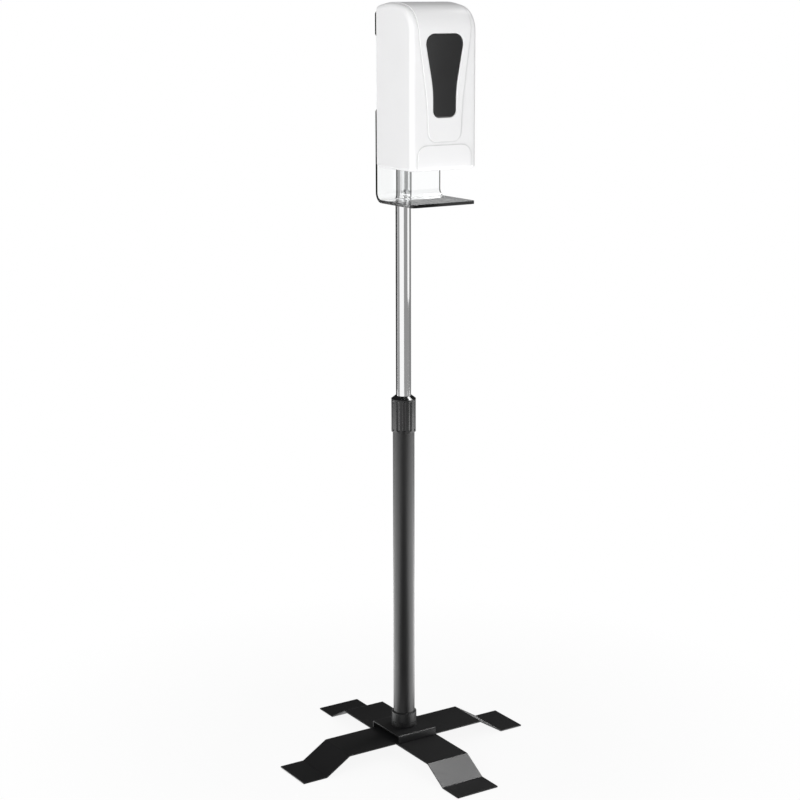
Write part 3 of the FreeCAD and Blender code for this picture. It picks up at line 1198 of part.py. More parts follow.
# Refill bottle: a blow-moulded bottle full of sanitizer, standing on the case with its
# outlet in the valve seal, and its screw cap
BOTTLE_Y = "(plate_sheet + bottle_back + bottle_depth / 2)"
bottle = new_body("refill_bottle", y=f"-{SHEET_FRONT} - {BOTTLE_Y}", z=f"{HOUSING_FOOT} + {CASE_TOP}")
outline = sketch_on(bottle, "XY_Plane")
rectangle(outline, "-bottle_width / 2", "bottle_width / 2", "-bottle_depth / 2", "bottle_depth / 2")
pad(bottle, outline, BOTTLE_HEIGHT)
fillet(bottle, "bottle_corner", lambda edge: straight(edge, Z))
fillet(bottle, "bottle_shoulder", lambda edge: near(middle(edge).z, size(BOTTLE_HEIGHT))
       and all(near(vertex.Z, size(BOTTLE_HEIGHT)) for vertex in edge.Vertexes))
neck = sketch_on(bottle, "XY_Plane", offset=BOTTLE_HEIGHT)
circle(neck, "0", "0", "neck_dia / 2")
pad(bottle, neck, "neck_height")
outlet = sketch_on(bottle, "XY_Plane")
circle(outlet, "0", f"{BOTTLE_Y} - pump_set", "outlet_dia / 2")
pad(bottle, outlet, "outlet_length", back=True)
nodes.append(bottle)
screw_cap = turned("bottle_cap", [
    ("(neck_dia / 2 + screw_cap_gap)", "screw_cap_gap"), ("(screw_cap_dia / 2)", "screw_cap_gap"),
    ("(screw_cap_dia / 2)", "(screw_cap_height - cap_edge)"),
    ("(screw_cap_dia / 2 - cap_edge)", "screw_cap_height"), ("0", "screw_cap_height"),
    ("0", "(neck_height + screw_cap_gap)"),
    ("(neck_dia / 2 + screw_cap_gap)", "(neck_height + screw_cap_gap)"),
], y=f"-{SHEET_FRONT} - {BOTTLE_Y}", z=f"{HOUSING_FOOT} + {CASE_TOP} + {BOTTLE_HEIGHT}")
flutes = sketch_on(screw_cap, "XY_Plane", offset="screw_cap_height")
circle(flutes, "screw_cap_dia / 2 + screw_cap_flute / 2", "0", "screw_cap_flute")
flute_cut = pocket(screw_cap, flutes, "screw_cap_height - cap_edge * 2", side="One side")
polar(screw_cap, flute_cut, "screw_cap_flutes")
nodes.append(screw_cap)

doc.recompute()
for item in doc.Objects:
    if "Invalid" in item.State or "Error" in item.State:
        raise RuntimeError(f"{item.Label} is not built: {item.State}")
os.makedirs("parts", exist_ok=True)
for node in nodes:
    shape = node.Shape
    if shape.isNull() or not shape.isValid():
        raise RuntimeError(f"{node.Label} has no valid shape")
    shape.exportStep(f"parts/{node.Label}.step")
    print(f"{node.Label}: {len(shape.Solids)} solids, {shape.Volume / 1000:.2f} cm3")
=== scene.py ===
import math
import bmesh
import bpy
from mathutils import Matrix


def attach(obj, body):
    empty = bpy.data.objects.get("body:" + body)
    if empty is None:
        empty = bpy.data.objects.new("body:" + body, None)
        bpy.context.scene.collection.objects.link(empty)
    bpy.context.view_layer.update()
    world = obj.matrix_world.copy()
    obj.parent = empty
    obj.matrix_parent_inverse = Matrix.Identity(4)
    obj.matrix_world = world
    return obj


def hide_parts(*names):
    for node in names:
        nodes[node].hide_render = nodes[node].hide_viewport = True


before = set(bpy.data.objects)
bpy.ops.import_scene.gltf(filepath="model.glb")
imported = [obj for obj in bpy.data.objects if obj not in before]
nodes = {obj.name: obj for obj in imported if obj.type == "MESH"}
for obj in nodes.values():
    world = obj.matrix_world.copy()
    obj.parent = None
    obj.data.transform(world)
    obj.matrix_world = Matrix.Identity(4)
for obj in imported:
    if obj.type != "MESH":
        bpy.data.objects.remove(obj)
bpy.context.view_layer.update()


# Photographer's view: the camera stands to the left of the dispenser's front, at the
# height of its top, and looks slightly down at the stand.
camera_data = bpy.data.cameras.new("studio_camera")
camera_data.lens = 80.44
camera_data.sensor_width = 36
camera_data.clip_end = 200
camera = bpy.data.objects.new("studio_camera", camera_data)
CAMERA_SPOT = (-1.5477, -2.4051, 1.2566)
camera.location = CAMERA_SPOT
camera.rotation_mode = "XYZ"
camera.rotation_euler = (math.radians(77.255), math.radians(0.123), math.radians(-32.672))
bpy.context.scene.collection.objects.link(camera)
bpy.context.scene.camera = camera
bpy.context.scene.view_settings.view_transform = "Standard"


# Studio: a pale floor that runs out to white, and soft lamps on the left, on the right,
# above and under the tray that gloss doesn't see. Gloss sees a narrow lamp high on the
# right, upright cards that band the chrome, also through acrylic, and cards on the floor.
bpy.ops.object.select_all(action="DESELECT")
bpy.ops.mesh.primitive_plane_add(size=120, location=(0, 0, 0))
floor = bpy.context.object
floor.name = "studio_floor"
floor_paper = bpy.data.materials.new("floor_paper")
floor_paper.use_nodes = True
tree = floor_paper.node_tree
paper = tree.nodes["Principled BSDF"]
paper.inputs["Base Color"].default_value = (0.86, 0.86, 0.86, 1)
paper.inputs["Roughness"].default_value = 0.9
paper.inputs["Specular IOR Level"].default_value = 0.0
glow = tree.nodes.new("ShaderNodeEmission")
ray = tree.nodes.new("ShaderNodeLightPath")
seen = tree.nodes.new("ShaderNodeMath")
seen.operation = "MAXIMUM"
seen_in_glass = tree.nodes.new("ShaderNodeMath")
seen_in_glass.operation = "MAXIMUM"
share = tree.nodes.new("ShaderNodeMath")
share.operation = "MULTIPLY"
place = tree.nodes.new("ShaderNodeTexCoord")
reach = tree.nodes.new("ShaderNodeVectorMath")
reach.operation = "LENGTH"
fade = tree.nodes.new("ShaderNodeMapRange")
fade.inputs["From Min"].default_value = 0.3
fade.inputs["From Max"].default_value = 0.8
fade.inputs["To Min"].default_value = 0.9
fade.inputs["To Max"].default_value = 1.0
tree.links.new(place.outputs["Object"], reach.inputs[0])
tree.links.new(reach.outputs["Value"], fade.inputs["Value"])
tree.links.new(fade.outputs["Result"], share.inputs[1])
blend = tree.nodes.new("ShaderNodeMixShader")
tree.links.new(ray.outputs["Is Camera Ray"], seen.inputs[0])
tree.links.new(ray.outputs["Is Glossy Ray"], seen.inputs[1])
tree.links.new(seen.outputs[0], seen_in_glass.inputs[0])
tree.links.new(ray.outputs["Is Transmission Ray"], seen_in_glass.inputs[1])
tree.links.new(seen_in_glass.outputs[0], share.inputs[0])
tree.links.new(share.outputs[0], blend.inputs[0])
tree.links.new(paper.outputs[0], blend.inputs[1])
tree.links.new(glow.outputs[0], blend.inputs[2])
tree.links.new(blend.outputs[0], tree.nodes["Material Output"].inputs["Surface"])
floor.data.materials.append(floor_paper)

room = bpy.data.worlds.new("studio_room")
room.use_nodes = True
bpy.context.scene.world = room
tree = room.node_tree
walls = tree.nodes["Background"]
walls.inputs["Color"].default_value = (0.5, 0.5, 0.5, 1)
white = tree.nodes.new("ShaderNodeBackground")
white.inputs["Color"].default_value = (1, 1, 1, 1)
dim = tree.nodes.new("ShaderNodeBackground")
dim.inputs["Color"].default_value = (0.05, 0.05, 0.05, 1)
ray = tree.nodes.new("ShaderNodeLightPath")
seen = tree.nodes.new("ShaderNodeMath")
seen.operation = "MAXIMUM"
room_blend = tree.nodes.new("ShaderNodeMixShader")
blend = tree.nodes.new("ShaderNodeMixShader")
tree.links.new(ray.outputs["Is Glossy Ray"], seen.inputs[0])
tree.links.new(ray.outputs["Is Transmission Ray"], seen.inputs[1])
tree.links.new(seen.outputs[0], room_blend.inputs[0])
tree.links.new(walls.outputs[0], room_blend.inputs[1])
tree.links.new(dim.outputs[0], room_blend.inputs[2])
tree.links.new(ray.outputs["Is Camera Ray"], blend.inputs[0])
tree.links.new(room_blend.outputs[0], blend.inputs[1])
tree.links.new(white.outputs[0], blend.inputs[2])
tree.links.new(blend.outputs[0], tree.nodes["World Output"].inputs["Surface"])


def soft_lamp(name, spot, aim, width, height, power):
    """A rectangular soft lamp at spot, facing aim."""
    data = bpy.data.lights.new(name, "AREA")
    data.shape = "RECTANGLE"
    data.size, data.size_y = width, height
    data.energy = power
    lamp = bpy.data.objects.new(name, data)
    lamp.location = spot
    away = [a - b for a, b in zip(spot, aim)]
    lamp.rotation_euler = (math.atan2(math.hypot(away[0], away[1]), away[2]), 0,
                           math.atan2(away[0], -away[1]))
    bpy.context.scene.collection.objects.link(lamp)
    return lamp


for name, spot, aim, width, height, power in (
        ("key_lamp", (-2.6, -1.4, 1.5), (0, 0, 0.8), 2.4, 2.4, 56),
        ("fill_lamp", (0.3, -3.2, 1.4), (0, 0, 0.7), 1.2, 2.2, 24),
        ("top_lamp", (0.2, -0.6, 3.4), (0, 0, 0.6), 2.4, 2.4, 2),
        ("tray_bounce", (0, -0.129, 0.984), (0, -0.118, 1.0), 0.11, 0.01, 0.0035)):
    lamp = soft_lamp(name, spot, aim, width, height, power)
    lamp.visible_glossy = lamp.visible_camera = lamp.visible_transmission = False
gloss_lamp = soft_lamp("gloss_lamp", (1.2, 0.0, 2.1), (0, -0.15, 0), 0.8, 0.8, 1.7)
gloss_lamp.data.spread = math.radians(30)
gloss_lamp.visible_diffuse = False


def grey_card(card, tone, in_glass):
    """Make a plane a grey card that only gloss can see, and clear pieces too where in_glass."""
    card.name = f"grey_card_{round(tone * 100)}"
    card.visible_camera = card.visible_diffuse = card.visible_shadow = False
    card.visible_transmission = in_glass
    card_tone = bpy.data.materials.new(card.name)
    card_tone.use_nodes = True
    shader = card_tone.node_tree.nodes["Principled BSDF"]
    shader.inputs["Base Color"].default_value = (0, 0, 0, 1)
    shader.inputs["Specular IOR Level"].default_value = 0.0
    shader.inputs["Emission Color"].default_value = (1, 1, 1, 1)
    shader.inputs["Emission Strength"].default_value = tone
    card.data.materials.append(card_tone)


# The cards stand or lie at angles from the camera's direction, seen from the pole.
CARD_FAR = 1.5
CAMERA_SIDE = math.atan2(CAMERA_SPOT[1], CAMERA_SPOT[0])
for start, end, foot, top, tone in (
        (8, 64, 0.25, 0.88, 0.30), (64, 100, 0.25, 0.52, 0.30), (100, 165, 0.25, 0.88, 0.22),
        (30, 63.2, 0.90, 1.60, 0.75), (63.2, 110, 0.90, 1.60, 0.05),
        (-58, -100, 0.25, 1.60, 0.34), (-104, -166, 0.25, 1.60, 0.04)):
    turn = CAMERA_SIDE + math.radians((start + end) / 2)
    bpy.ops.object.select_all(action="DESELECT")
    bpy.ops.mesh.primitive_plane_add(size=1, rotation=(math.pi / 2, 0, turn + math.pi / 2), location=(
        CARD_FAR * math.cos(turn), CARD_FAR * math.sin(turn), (foot + top) / 2))
    card = bpy.context.object
    card.scale = (2 * CARD_FAR * math.tan(math.radians(abs(end - start) / 2)), top - foot, 1)
    grey_card(card, tone, True)
for angle, near_end, far_end, width, level, tone in (
        (0, 0.2, 2.4, 1.0, 0.0016, 0.05),
        (88, 0.17, 2.6, 1.9, 0.0012, 3.9), (-88, 0.17, 2.6, 1.9, 0.0012, 3.4)):
    turn = CAMERA_SIDE + math.radians(angle)
    middle = (near_end + far_end) / 2
    bpy.ops.object.select_all(action="DESELECT")
    bpy.ops.mesh.primitive_plane_add(size=1, rotation=(0, 0, turn), location=(
        middle * math.cos(turn), middle * math.sin(turn), level))
    card = bpy.context.object
    card.scale = (far_end - near_end, width, 1)
    grey_card(card, tone, False)


# Leg strips: two long strips of 2 mm steel, cut, folded down to a foot at both ends
# and powder coated satin black. The lower one runs front to back, the upper one
# crosses it, and the centre bolt clamps them together.
STRIP_WIDTH = 0.079
STRIP_SHEET = 0.002
FLAT_HALF = 0.132
SLOPE_RUN = 0.044
FOOT_LENGTH = 0.0444
PAD_SHEET = 0.001


def add_piece(name):
    """Name the primitive just added, put its place in its mesh and open it for editing."""
    piece = bpy.context.object
    piece.name = name
    bpy.ops.object.transform_apply(location=True, rotation=True, scale=True)
    bpy.ops.object.mode_set(mode="EDIT")
    return piece


def start_new():
    """Leave edit mode and deselect all, ready for the next primitive."""
    if bpy.context.object and bpy.context.object.mode == "EDIT":
        bpy.ops.object.mode_set(mode="OBJECT")
    bpy.ops.object.select_all(action="DESELECT")


def block(name, middle, extent):
    """A box about its middle, open for editing."""
    start_new()
    bpy.ops.mesh.primitive_cube_add(size=1, location=middle)
    piece = add_piece(name)
    bpy.ops.transform.resize(value=extent, center_override=middle)
    return piece


def rod(name, facets, radius, length, middle, axis="Z"):
    """A bar along an axis about its middle, open for editing."""
    turn = {"X": (0, math.pi / 2, 0), "Y": (math.pi / 2, 0, 0), "Z": (0, 0, 0)}[axis]
    start_new()
    bpy.ops.mesh.primitive_cylinder_add(vertices=facets, radius=radius, depth=length, rotation=turn,
                                        location=middle)
    return add_piece(name)


def choose(kind, test):
    """Select the vertices, edges or faces whose middle passes the test."""
    bpy.ops.mesh.select_mode(type=kind)
    bpy.ops.mesh.select_all(action="DESELECT")
    data = bpy.context.object.data
    mesh = bmesh.from_edit_mesh(data)
    for part in {"VERT": mesh.verts, "EDGE": mesh.edges, "FACE": mesh.faces}[kind]:
        corners = [part] if kind == "VERT" else part.verts
        spot = sum((corner.co for corner in corners), start=corners[0].co * 0) / len(corners)
        if test(spot, part):
            part.select_set(True)
    mesh.select_flush_mode()
    bmesh.update_edit_mesh(data)


def draw_out(x, y, z):
    """Extrude what is selected by x, y and z."""
    bpy.ops.mesh.extrude_region_move(TRANSFORM_OT_translate={"value": (x, y, z)})


def near(value, target):
    """Whether two lengths in metres are the same."""
    return abs(value - target) < 2e-5


def apply_modifier(piece, kind, **settings):
    """Add a modifier with its settings to the active piece and apply it."""
    bpy.ops.object.modifier_add(type=kind)
    modifier = piece.modifiers[-1]
    for key, value in settings.items():
        setattr(modifier, key, value)
    bpy.ops.object.modifier_apply(modifier=modifier.name)


def finish_piece(piece, body, replaced, material, edge=0.0, smooth=32):
    """Leave edit mode, ease the sharp edges, shade it, and let it ride its body."""
    if bpy.context.object.mode == "EDIT":
        bpy.ops.mesh.select_all(action="SELECT")
        bpy.ops.mesh.remove_doubles(threshold=1e-6)
        bpy.ops.mesh.normals_make_consistent(inside=False)
        bpy.ops.object.mode_set(mode="OBJECT")
    if edge:
        apply_modifier(piece, "BEVEL", width=edge, segments=2, limit_method="ANGLE",
                       angle_limit=math.radians(smooth))
    bpy.ops.object.shade_smooth_by_angle(angle=math.radians(smooth))
    apply_modifier(piece, "WEIGHTED_NORMAL", keep_sharp=True)
    piece.data.materials.append(material)
    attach(piece, body)
    if replaced:
        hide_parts(*replaced)


def surface(name, colour, roughness, grain, depth, metallic=0.0, mottle=0.06, unevenness=0.08):
    """A finish whose tone and gloss drift over the piece, with grain of a size and depth in metres."""
    material = bpy.data.materials.new(name)
    material.use_nodes = True
    tree = material.node_tree
    shader = tree.nodes["Principled BSDF"]
    shader.inputs["Metallic"].default_value = metallic
    place = tree.nodes.new("ShaderNodeTexCoord")
    clouds = tree.nodes.new("ShaderNodeTexNoise")
    clouds.inputs["Scale"].default_value = 18
    clouds.inputs["Detail"].default_value = 4
    grains = tree.nodes.new("ShaderNodeTexNoise")
    grains.inputs["Scale"].default_value = 1 / grain
    grains.inputs["Detail"].default_value = 3
    tone = tree.nodes.new("ShaderNodeMix")
    tone.data_type = "RGBA"
    tone.inputs["A"].default_value = [c * (1 - mottle) for c in colour] + [1]
    tone.inputs["B"].default_value = [min(1, c * (1 + mottle)) for c in colour] + [1]
    gloss = tree.nodes.new("ShaderNodeMapRange")
    gloss.inputs["To Min"].default_value = roughness - unevenness / 2
    gloss.inputs["To Max"].default_value = roughness + unevenness / 2
    bump = tree.nodes.new("ShaderNodeBump")
    bump.inputs["Strength"].default_value = 0.6
    bump.inputs["Distance"].default_value = depth
    for noise in (clouds, grains):
        tree.links.new(place.outputs["Object"], noise.inputs["Vector"])
    tree.links.new(clouds.outputs["Fac"], tone.inputs["Factor"])
    tree.links.new(clouds.outputs["Fac"], gloss.inputs["Value"])
    tree.links.new(grains.outputs["Fac"], bump.inputs["Height"])
    tree.links.new(tone.outputs["Result"], shader.inputs["Base Color"])
    tree.links.new(gloss.outputs["Result"], shader.inputs["Roughness"])
    tree.links.new(bump.outputs["Normal"], shader.inputs["Normal"])
    return material


def shader_of(material):
    """The shader node of a finish."""
    return material.node_tree.nodes["Principled BSDF"]


def dress(material, *names):
    """Put a finish on pieces that keep the shape they have."""
    for name in names:
        nodes[name].data.materials.clear()
        nodes[name].data.materials.append(material)


powder_coat = surface("black_powder_coat", (0.011, 0.011, 0.0115), 0.44, 0.0011, 0.00004)
shader_of(powder_coat).inputs["IOR"].default_value = 1.42


def leg_strip(name, clear, crosswise):
    """A folded strip whose flat has its underside at clear, along Y or crosswise along X."""
    start_new()
    bpy.ops.mesh.primitive_plane_add(size=1, location=(0, 0, clear))
    strip = add_piece(name)
    bpy.ops.transform.resize(value=(STRIP_WIDTH, FLAT_HALF * 2, 1), center_override=(0, 0, clear))
    for way in (-1, 1):
        choose("EDGE", lambda spot, edge: near(spot.y, way * FLAT_HALF))
        draw_out(0, way * SLOPE_RUN, PAD_SHEET - clear)
        draw_out(0, way * FOOT_LENGTH, 0)
    end = FLAT_HALF + SLOPE_RUN + FOOT_LENGTH
    choose("VERT", lambda spot, vert: near(abs(spot.y), end))
    bpy.ops.mesh.bevel(offset=0.0015, segments=4, affect="VERTICES")
    half_fold = math.atan2(clear - PAD_SHEET, SLOPE_RUN) / 2
    for fold, radius in ((FLAT_HALF, 0.002), (FLAT_HALF + SLOPE_RUN, 0.004)):
        choose("EDGE", lambda spot, edge: near(abs(spot.y), fold) and near(spot.x, 0))
        bpy.ops.mesh.bevel(offset=radius * math.tan(half_fold), segments=5, affect="EDGES")
    if crosswise:
        bpy.ops.mesh.select_all(action="SELECT")
        bpy.ops.transform.rotate(value=math.pi / 2, orient_axis="Z", center_override=(0, 0, 0))
    bpy.ops.object.mode_set(mode="OBJECT")
    apply_modifier(strip, "SOLIDIFY", thickness=STRIP_SHEET, offset=1, use_even_offset=True)
    finish_piece(strip, "base", [name.replace("folded", "leg")], powder_coat, edge=0.0003)


leg_strip("lower_folded_strip", 0.0264, False)
leg_strip("upper_folded_strip", 0.0284, True)


# Foot pads: four 1 mm rubber pads glued under the feet.
pad_rubber = surface("pad_rubber", (0.03, 0.03, 0.03), 0.8, 0.0012, 0.00008)
dress(pad_rubber, "foot_pad_left", "foot_pad_right", "foot_pad_front", "foot_pad_rear")


# Hub bridge: a short folded steel channel that straddles the upper strip, stands on
# the lower one and carries the pole. Its two ends are open.
BRIDGE_FOOT = 0.0284
BRIDGE_TOP = 0.042
BRIDGE_DEPTH = 0.0835
BRIDGE_WIDTH = 0.074
bridge = block("folded_bridge", (0, 0, (BRIDGE_FOOT + BRIDGE_TOP) / 2),
               (BRIDGE_WIDTH, BRIDGE_DEPTH, BRIDGE_TOP - BRIDGE_FOOT))
choose("FACE", lambda spot, face: face.normal.z < -0.5 or abs(face.normal.x) > 0.5)
bpy.ops.mesh.delete(type="FACE")
choose("EDGE", lambda spot, edge: near(spot.z, BRIDGE_TOP) and near(abs(spot.y), BRIDGE_DEPTH / 2))
bpy.ops.mesh.bevel(offset=0.003, segments=6, affect="EDGES")
bpy.ops.object.mode_set(mode="OBJECT")
apply_modifier(bridge, "SOLIDIFY", thickness=STRIP_SHEET, offset=-1, use_even_offset=True)
finish_piece(bridge, "base", ["hub_bridge"], powder_coat, edge=0.0003)


# Pole socket: a turned steel cup with one groove, powder coated with the tube. The
# outer tube stands in it and the hub bolt screws into its floor.
def turned(name, outline, facets=96):
    """A turned piece about the pole's axis: outline is a closed run of (radius, height)."""
    start_new()
    radius, height = outline[0]
    bpy.ops.mesh.primitive_circle_add(vertices=facets, radius=radius, location=(0, 0, height))
    piece = add_piece(name)
    bpy.ops.mesh.select_all(action="SELECT")
    for (r, z), (next_r, next_z) in zip(outline, outline[1:] + outline[:1]):
        draw_out(0, 0, next_z - z)
        bpy.ops.transform.resize(value=(next_r / r, next_r / r, 1), center_override=(0, 0, next_z))
    bpy.ops.mesh.select_all(action="SELECT")
    bpy.ops.mesh.remove_doubles(threshold=2e-6)
    bpy.ops.mesh.normals_make_consistent(inside=False)
    return piece


TUBE_FOOT = 0.047
tube_coat = surface("tube_coat", (0.006, 0.006, 0.0063), 0.38, 0.0011, 0.00003)
shader_of(tube_coat).inputs["Sheen Weight"].default_value = 0.18
shader_of(tube_coat).inputs["Sheen Roughness"].default_value = 0.35
SOCKET_RADIUS, SOCKET_BORE, SOCKET_TOP = 0.021, 0.01805, 0.068
BOLT_HOLE = 0.00505
socket = turned("socket_cup", [
    (BOLT_HOLE, BRIDGE_TOP), (SOCKET_RADIUS, BRIDGE_TOP), (SOCKET_RADIUS, 0.050), (0.0202, 0.0502),
    (0.0202, 0.0506), (SOCKET_RADIUS, 0.0508), (SOCKET_RADIUS, SOCKET_TOP - 0.001),
    (SOCKET_RADIUS - 0.001, SOCKET_TOP), (SOCKET_BORE, SOCKET_TOP), (SOCKET_BORE, TUBE_FOOT),
    (BOLT_HOLE, TUBE_FOOT)])
finish_piece(socket, "base", ["pole_socket"], tube_coat, edge=0.0002)


# Hub bolt and washer: zinc plated, under the crossing.
zinc = surface("zinc_plate", (0.55, 0.56, 0.58), 0.32, 0.0009, 0.00002, metallic=1.0, mottle=0.12)
dress(zinc, "hub_bolt", "hub_washer")


# Outer tube: drawn steel tube, powder coated with a little more sheen than the foot.
TUBE_TOP = 0.604
TUBE_BORE, TUBE_RADIUS = 0.0165, 0.018
tube = turned("drawn_tube", [(TUBE_BORE, TUBE_FOOT), (TUBE_RADIUS, TUBE_FOOT), (TUBE_RADIUS, TUBE_TOP),
                             (TUBE_BORE, TUBE_TOP)])
finish_piece(tube, "base", ["outer_tube"], tube_coat, edge=0.0002)


# Collet: natural nylon, in the tube's mouth under the collar.
nylon = surface("natural_nylon", (0.62, 0.62, 0.58), 0.45, 0.0015, 0.00003)
dress(nylon, "collet")


# Lock collar: moulded black plastic with twelve flutes for the hand. It turns on the
# tube's mouth, and its cone closes the collet on the pole.
COLLAR_FOOT, COLLAR_SHOULDER, COLLAR_TOP = 0.558, 0.613, 0.618
COLLAR_RADIUS, COLLAR_BORE = 0.0203, 0.0183
FLUTES, FLUTE_RADIUS, FLUTE_DEPTH = 12, 0.005, 0.0011
collar_plastic = surface("collar_plastic", (0.008, 0.008, 0.0084), 0.17, 0.0009, 0.00002)
collar = turned("fluted_collar", [
    (COLLAR_BORE, COLLAR_FOOT), (COLLAR_RADIUS, COLLAR_FOOT), (COLLAR_RADIUS, COLLAR_SHOULDER),
    (0.0139, COLLAR_TOP), (0.0129, COLLAR_TOP), (0.0129, 0.6154), (0.0141, 0.6154), (0.0164, 0.6074),
    (COLLAR_BORE, 0.6074)], facets=144)
flutes = rod("flute_cutter", 48, FLUTE_RADIUS, 0.050,
             (COLLAR_RADIUS + FLUTE_RADIUS - FLUTE_DEPTH, 0, (COLLAR_FOOT + COLLAR_SHOULDER) / 2))
choose("EDGE", lambda spot, edge: abs(edge.verts[0].co.z - edge.verts[1].co.z) < 1e-6)
bpy.ops.mesh.bevel(offset=0.0016, segments=4, affect="EDGES")


def repeat_round(count):
    """Copy all of the open mesh about the Z axis until it is there count times."""
    bpy.ops.mesh.select_all(action="SELECT")
    for copy in range(count - 1):
        bpy.ops.mesh.duplicate()
        bpy.ops.transform.rotate(value=math.tau / count, orient_axis="Z", center_override=(0, 0, 0))


def cut(piece, cutter, operation="DIFFERENCE"):
    """Boolean of a piece with a cutter, which is then removed."""
    start_new()
    piece.select_set(True)
    bpy.context.view_layer.objects.active = piece
    apply_modifier(piece, "BOOLEAN", object=cutter, operation=operation, solver="EXACT")
    bpy.data.objects.remove(cutter)


repeat_round(FLUTES)
cut(collar, flutes)
finish_piece(collar, "collar", ["lock_collar"], collar_plastic, edge=0.0003, smooth=28)


# Inner pole: chromed steel tube with a black cap and end plug. A nylon bush guides
# its foot in the outer tube, and a pressed ring keeps the bush in place.
chrome = surface("pole_chrome", (0.93, 0.93, 0.935), 0.06, 0.004, 0.000004, metallic=1.0, mottle=0.02,
                 unevenness=0.03)
POLE_FOOT, POLE_TOP = 0.500, 1.212
POLE_BORE, POLE_RADIUS = 0.0113, 0.0125
pole = turned("chromed_pole", [(POLE_BORE, POLE_FOOT), (POLE_RADIUS, POLE_FOOT), (POLE_RADIUS, POLE_TOP),
                               (POLE_BORE, POLE_TOP)])
finish_piece(pole, "pole", ["inner_pole"], chrome)
CENTRE = 0.0002
CAP_PLUG_FOOT, POLE_CAP_TOP = 1.202, 1.215
cap = turned("domed_cap", [
    (CENTRE, CAP_PLUG_FOOT), (POLE_BORE, CAP_PLUG_FOOT), (POLE_BORE, POLE_TOP), (POLE_RADIUS, POLE_TOP),
    (POLE_RADIUS, 1.2138), (0.0121, 1.2146), (0.0112, POLE_CAP_TOP), (CENTRE, POLE_CAP_TOP)], facets=64)
finish_piece(cap, "pole", ["pole_cap"], collar_plastic)
dress(collar_plastic, "pole_end_plug")
dress(nylon, "guide_bush")
dress(zinc, "stop_ring")


# Tray: one sheet of clear 5 mm acrylic, bent forward at its foot into the drip tray, with
# a notch at each side behind the dispenser. The upright's sides and the front edge are
# polished and get a near-black tint, painted shade for the dark they show, and the tray's
# own side edges are sawn and look pale.
SHEET_BACK = -0.0126
SHEET_TOP = 1.234
TRAY_UNDER = 0.939
TRAY_FRONT = -0.118
SHEET_HALF = 0.0595
ACRYLIC = 0.005
BEND = 0.016
upright_middle = (0, SHEET_BACK, (SHEET_TOP + TRAY_UNDER + BEND) / 2)
start_new()
bpy.ops.mesh.primitive_plane_add(size=1, rotation=(math.pi / 2, 0, 0), location=upright_middle)
tray = add_piece("bent_tray")
bpy.ops.transform.resize(value=(SHEET_HALF * 2, 1, SHEET_TOP - TRAY_UNDER - BEND),
                         center_override=upright_middle)
choose("EDGE", lambda spot, edge: near(spot.z, TRAY_UNDER + BEND) and near(spot.x, 0))
bpy.ops.mesh.spin(steps=24, angle=math.pi / 2, center=(0, SHEET_BACK - BEND, TRAY_UNDER + BEND),
                  axis=(1, 0, 0))
choose("EDGE", lambda spot, edge: near(spot.z, TRAY_UNDER) and near(spot.x, 0))
draw_out(0, TRAY_FRONT - SHEET_BACK + BEND, 0)
NOTCH_FOOT, NOTCH_TOP, NOTCH_IN = 1.085, 1.195, 0.0475
for level in (NOTCH_FOOT, NOTCH_TOP):
    bpy.ops.mesh.select_all(action="SELECT")
    bpy.ops.mesh.bisect(plane_co=(0, 0, level), plane_no=(0, 0, 1))
for side in (-1, 1):
    choose("FACE", lambda spot, face: NOTCH_FOOT < spot.z < NOTCH_TOP)
    bpy.ops.mesh.bisect(plane_co=(side * NOTCH_IN, 0, 0), plane_no=(1, 0, 0))
choose("FACE", lambda spot, face: NOTCH_FOOT < spot.z < NOTCH_TOP and abs(spot.x) > NOTCH_IN)
bpy.ops.mesh.delete(type="FACE")
choose("VERT", lambda spot, vert: any(near(spot.z, level) for level in (NOTCH_FOOT, NOTCH_TOP, SHEET_TOP))
       and any(near(abs(spot.x), side) for side in (SHEET_HALF, NOTCH_IN)))
bpy.ops.mesh.bevel(offset=0.0055, segments=6, affect="VERTICES")
choose("VERT", lambda spot, vert: near(spot.y, TRAY_FRONT))
bpy.ops.mesh.bevel(offset=0.008, segments=8, affect="VERTICES")
bpy.ops.object.mode_set(mode="OBJECT")
apply_modifier(tray, "SOLIDIFY", thickness=ACRYLIC, offset=1, use_even_offset=True)
acrylic = surface("clear_acrylic", (0.98, 0.99, 0.99), 0.004, 0.03, 0.000002, mottle=0.004,
                  unevenness=0.006)
# Painted shade: a near-black tint through the polished edges stands in for the dark that these clear edges
# show.
painted_dark_edge = surface("acrylic_edge_painted_dark", (0.0003, 0.0003, 0.0003), 0.05, 0.03, 0.00001,
                   unevenness=0.03)
sawn_edge = surface("sawn_acrylic_edge", (0.9, 0.91, 0.91), 0.35, 0.03, 0.00001, unevenness=0.03)
for material in (acrylic, painted_dark_edge, sawn_edge):
    shader_of(material).inputs["Transmission Weight"].default_value = 1.0
    shader_of(material).inputs["IOR"].default_value = 1.49
finish_piece(tray, "pole", ["acrylic_tray"], acrylic, edge=0.0004)
tray.data.materials.append(painted_dark_edge)
tray.data.materials.append(sawn_edge)
FACES_ALONG = 0.3
for face in tray.data.polygons:
    on_side = abs(face.normal.x) > FACES_ALONG
    on_front = face.center.y < TRAY_FRONT + 0.0001 + ACRYLIC / 2 and face.normal.y < -FACES_ALONG
    # Slot 1 is the painted dark edge on the upright's sides and the front edge, and slot 2 is the pale sawn
    # edge.
    if on_front or on_side and face.center.z > TRAY_UNDER + BEND / 2:
        face.material_index = 1
    elif on_side:
        face.material_index = 2


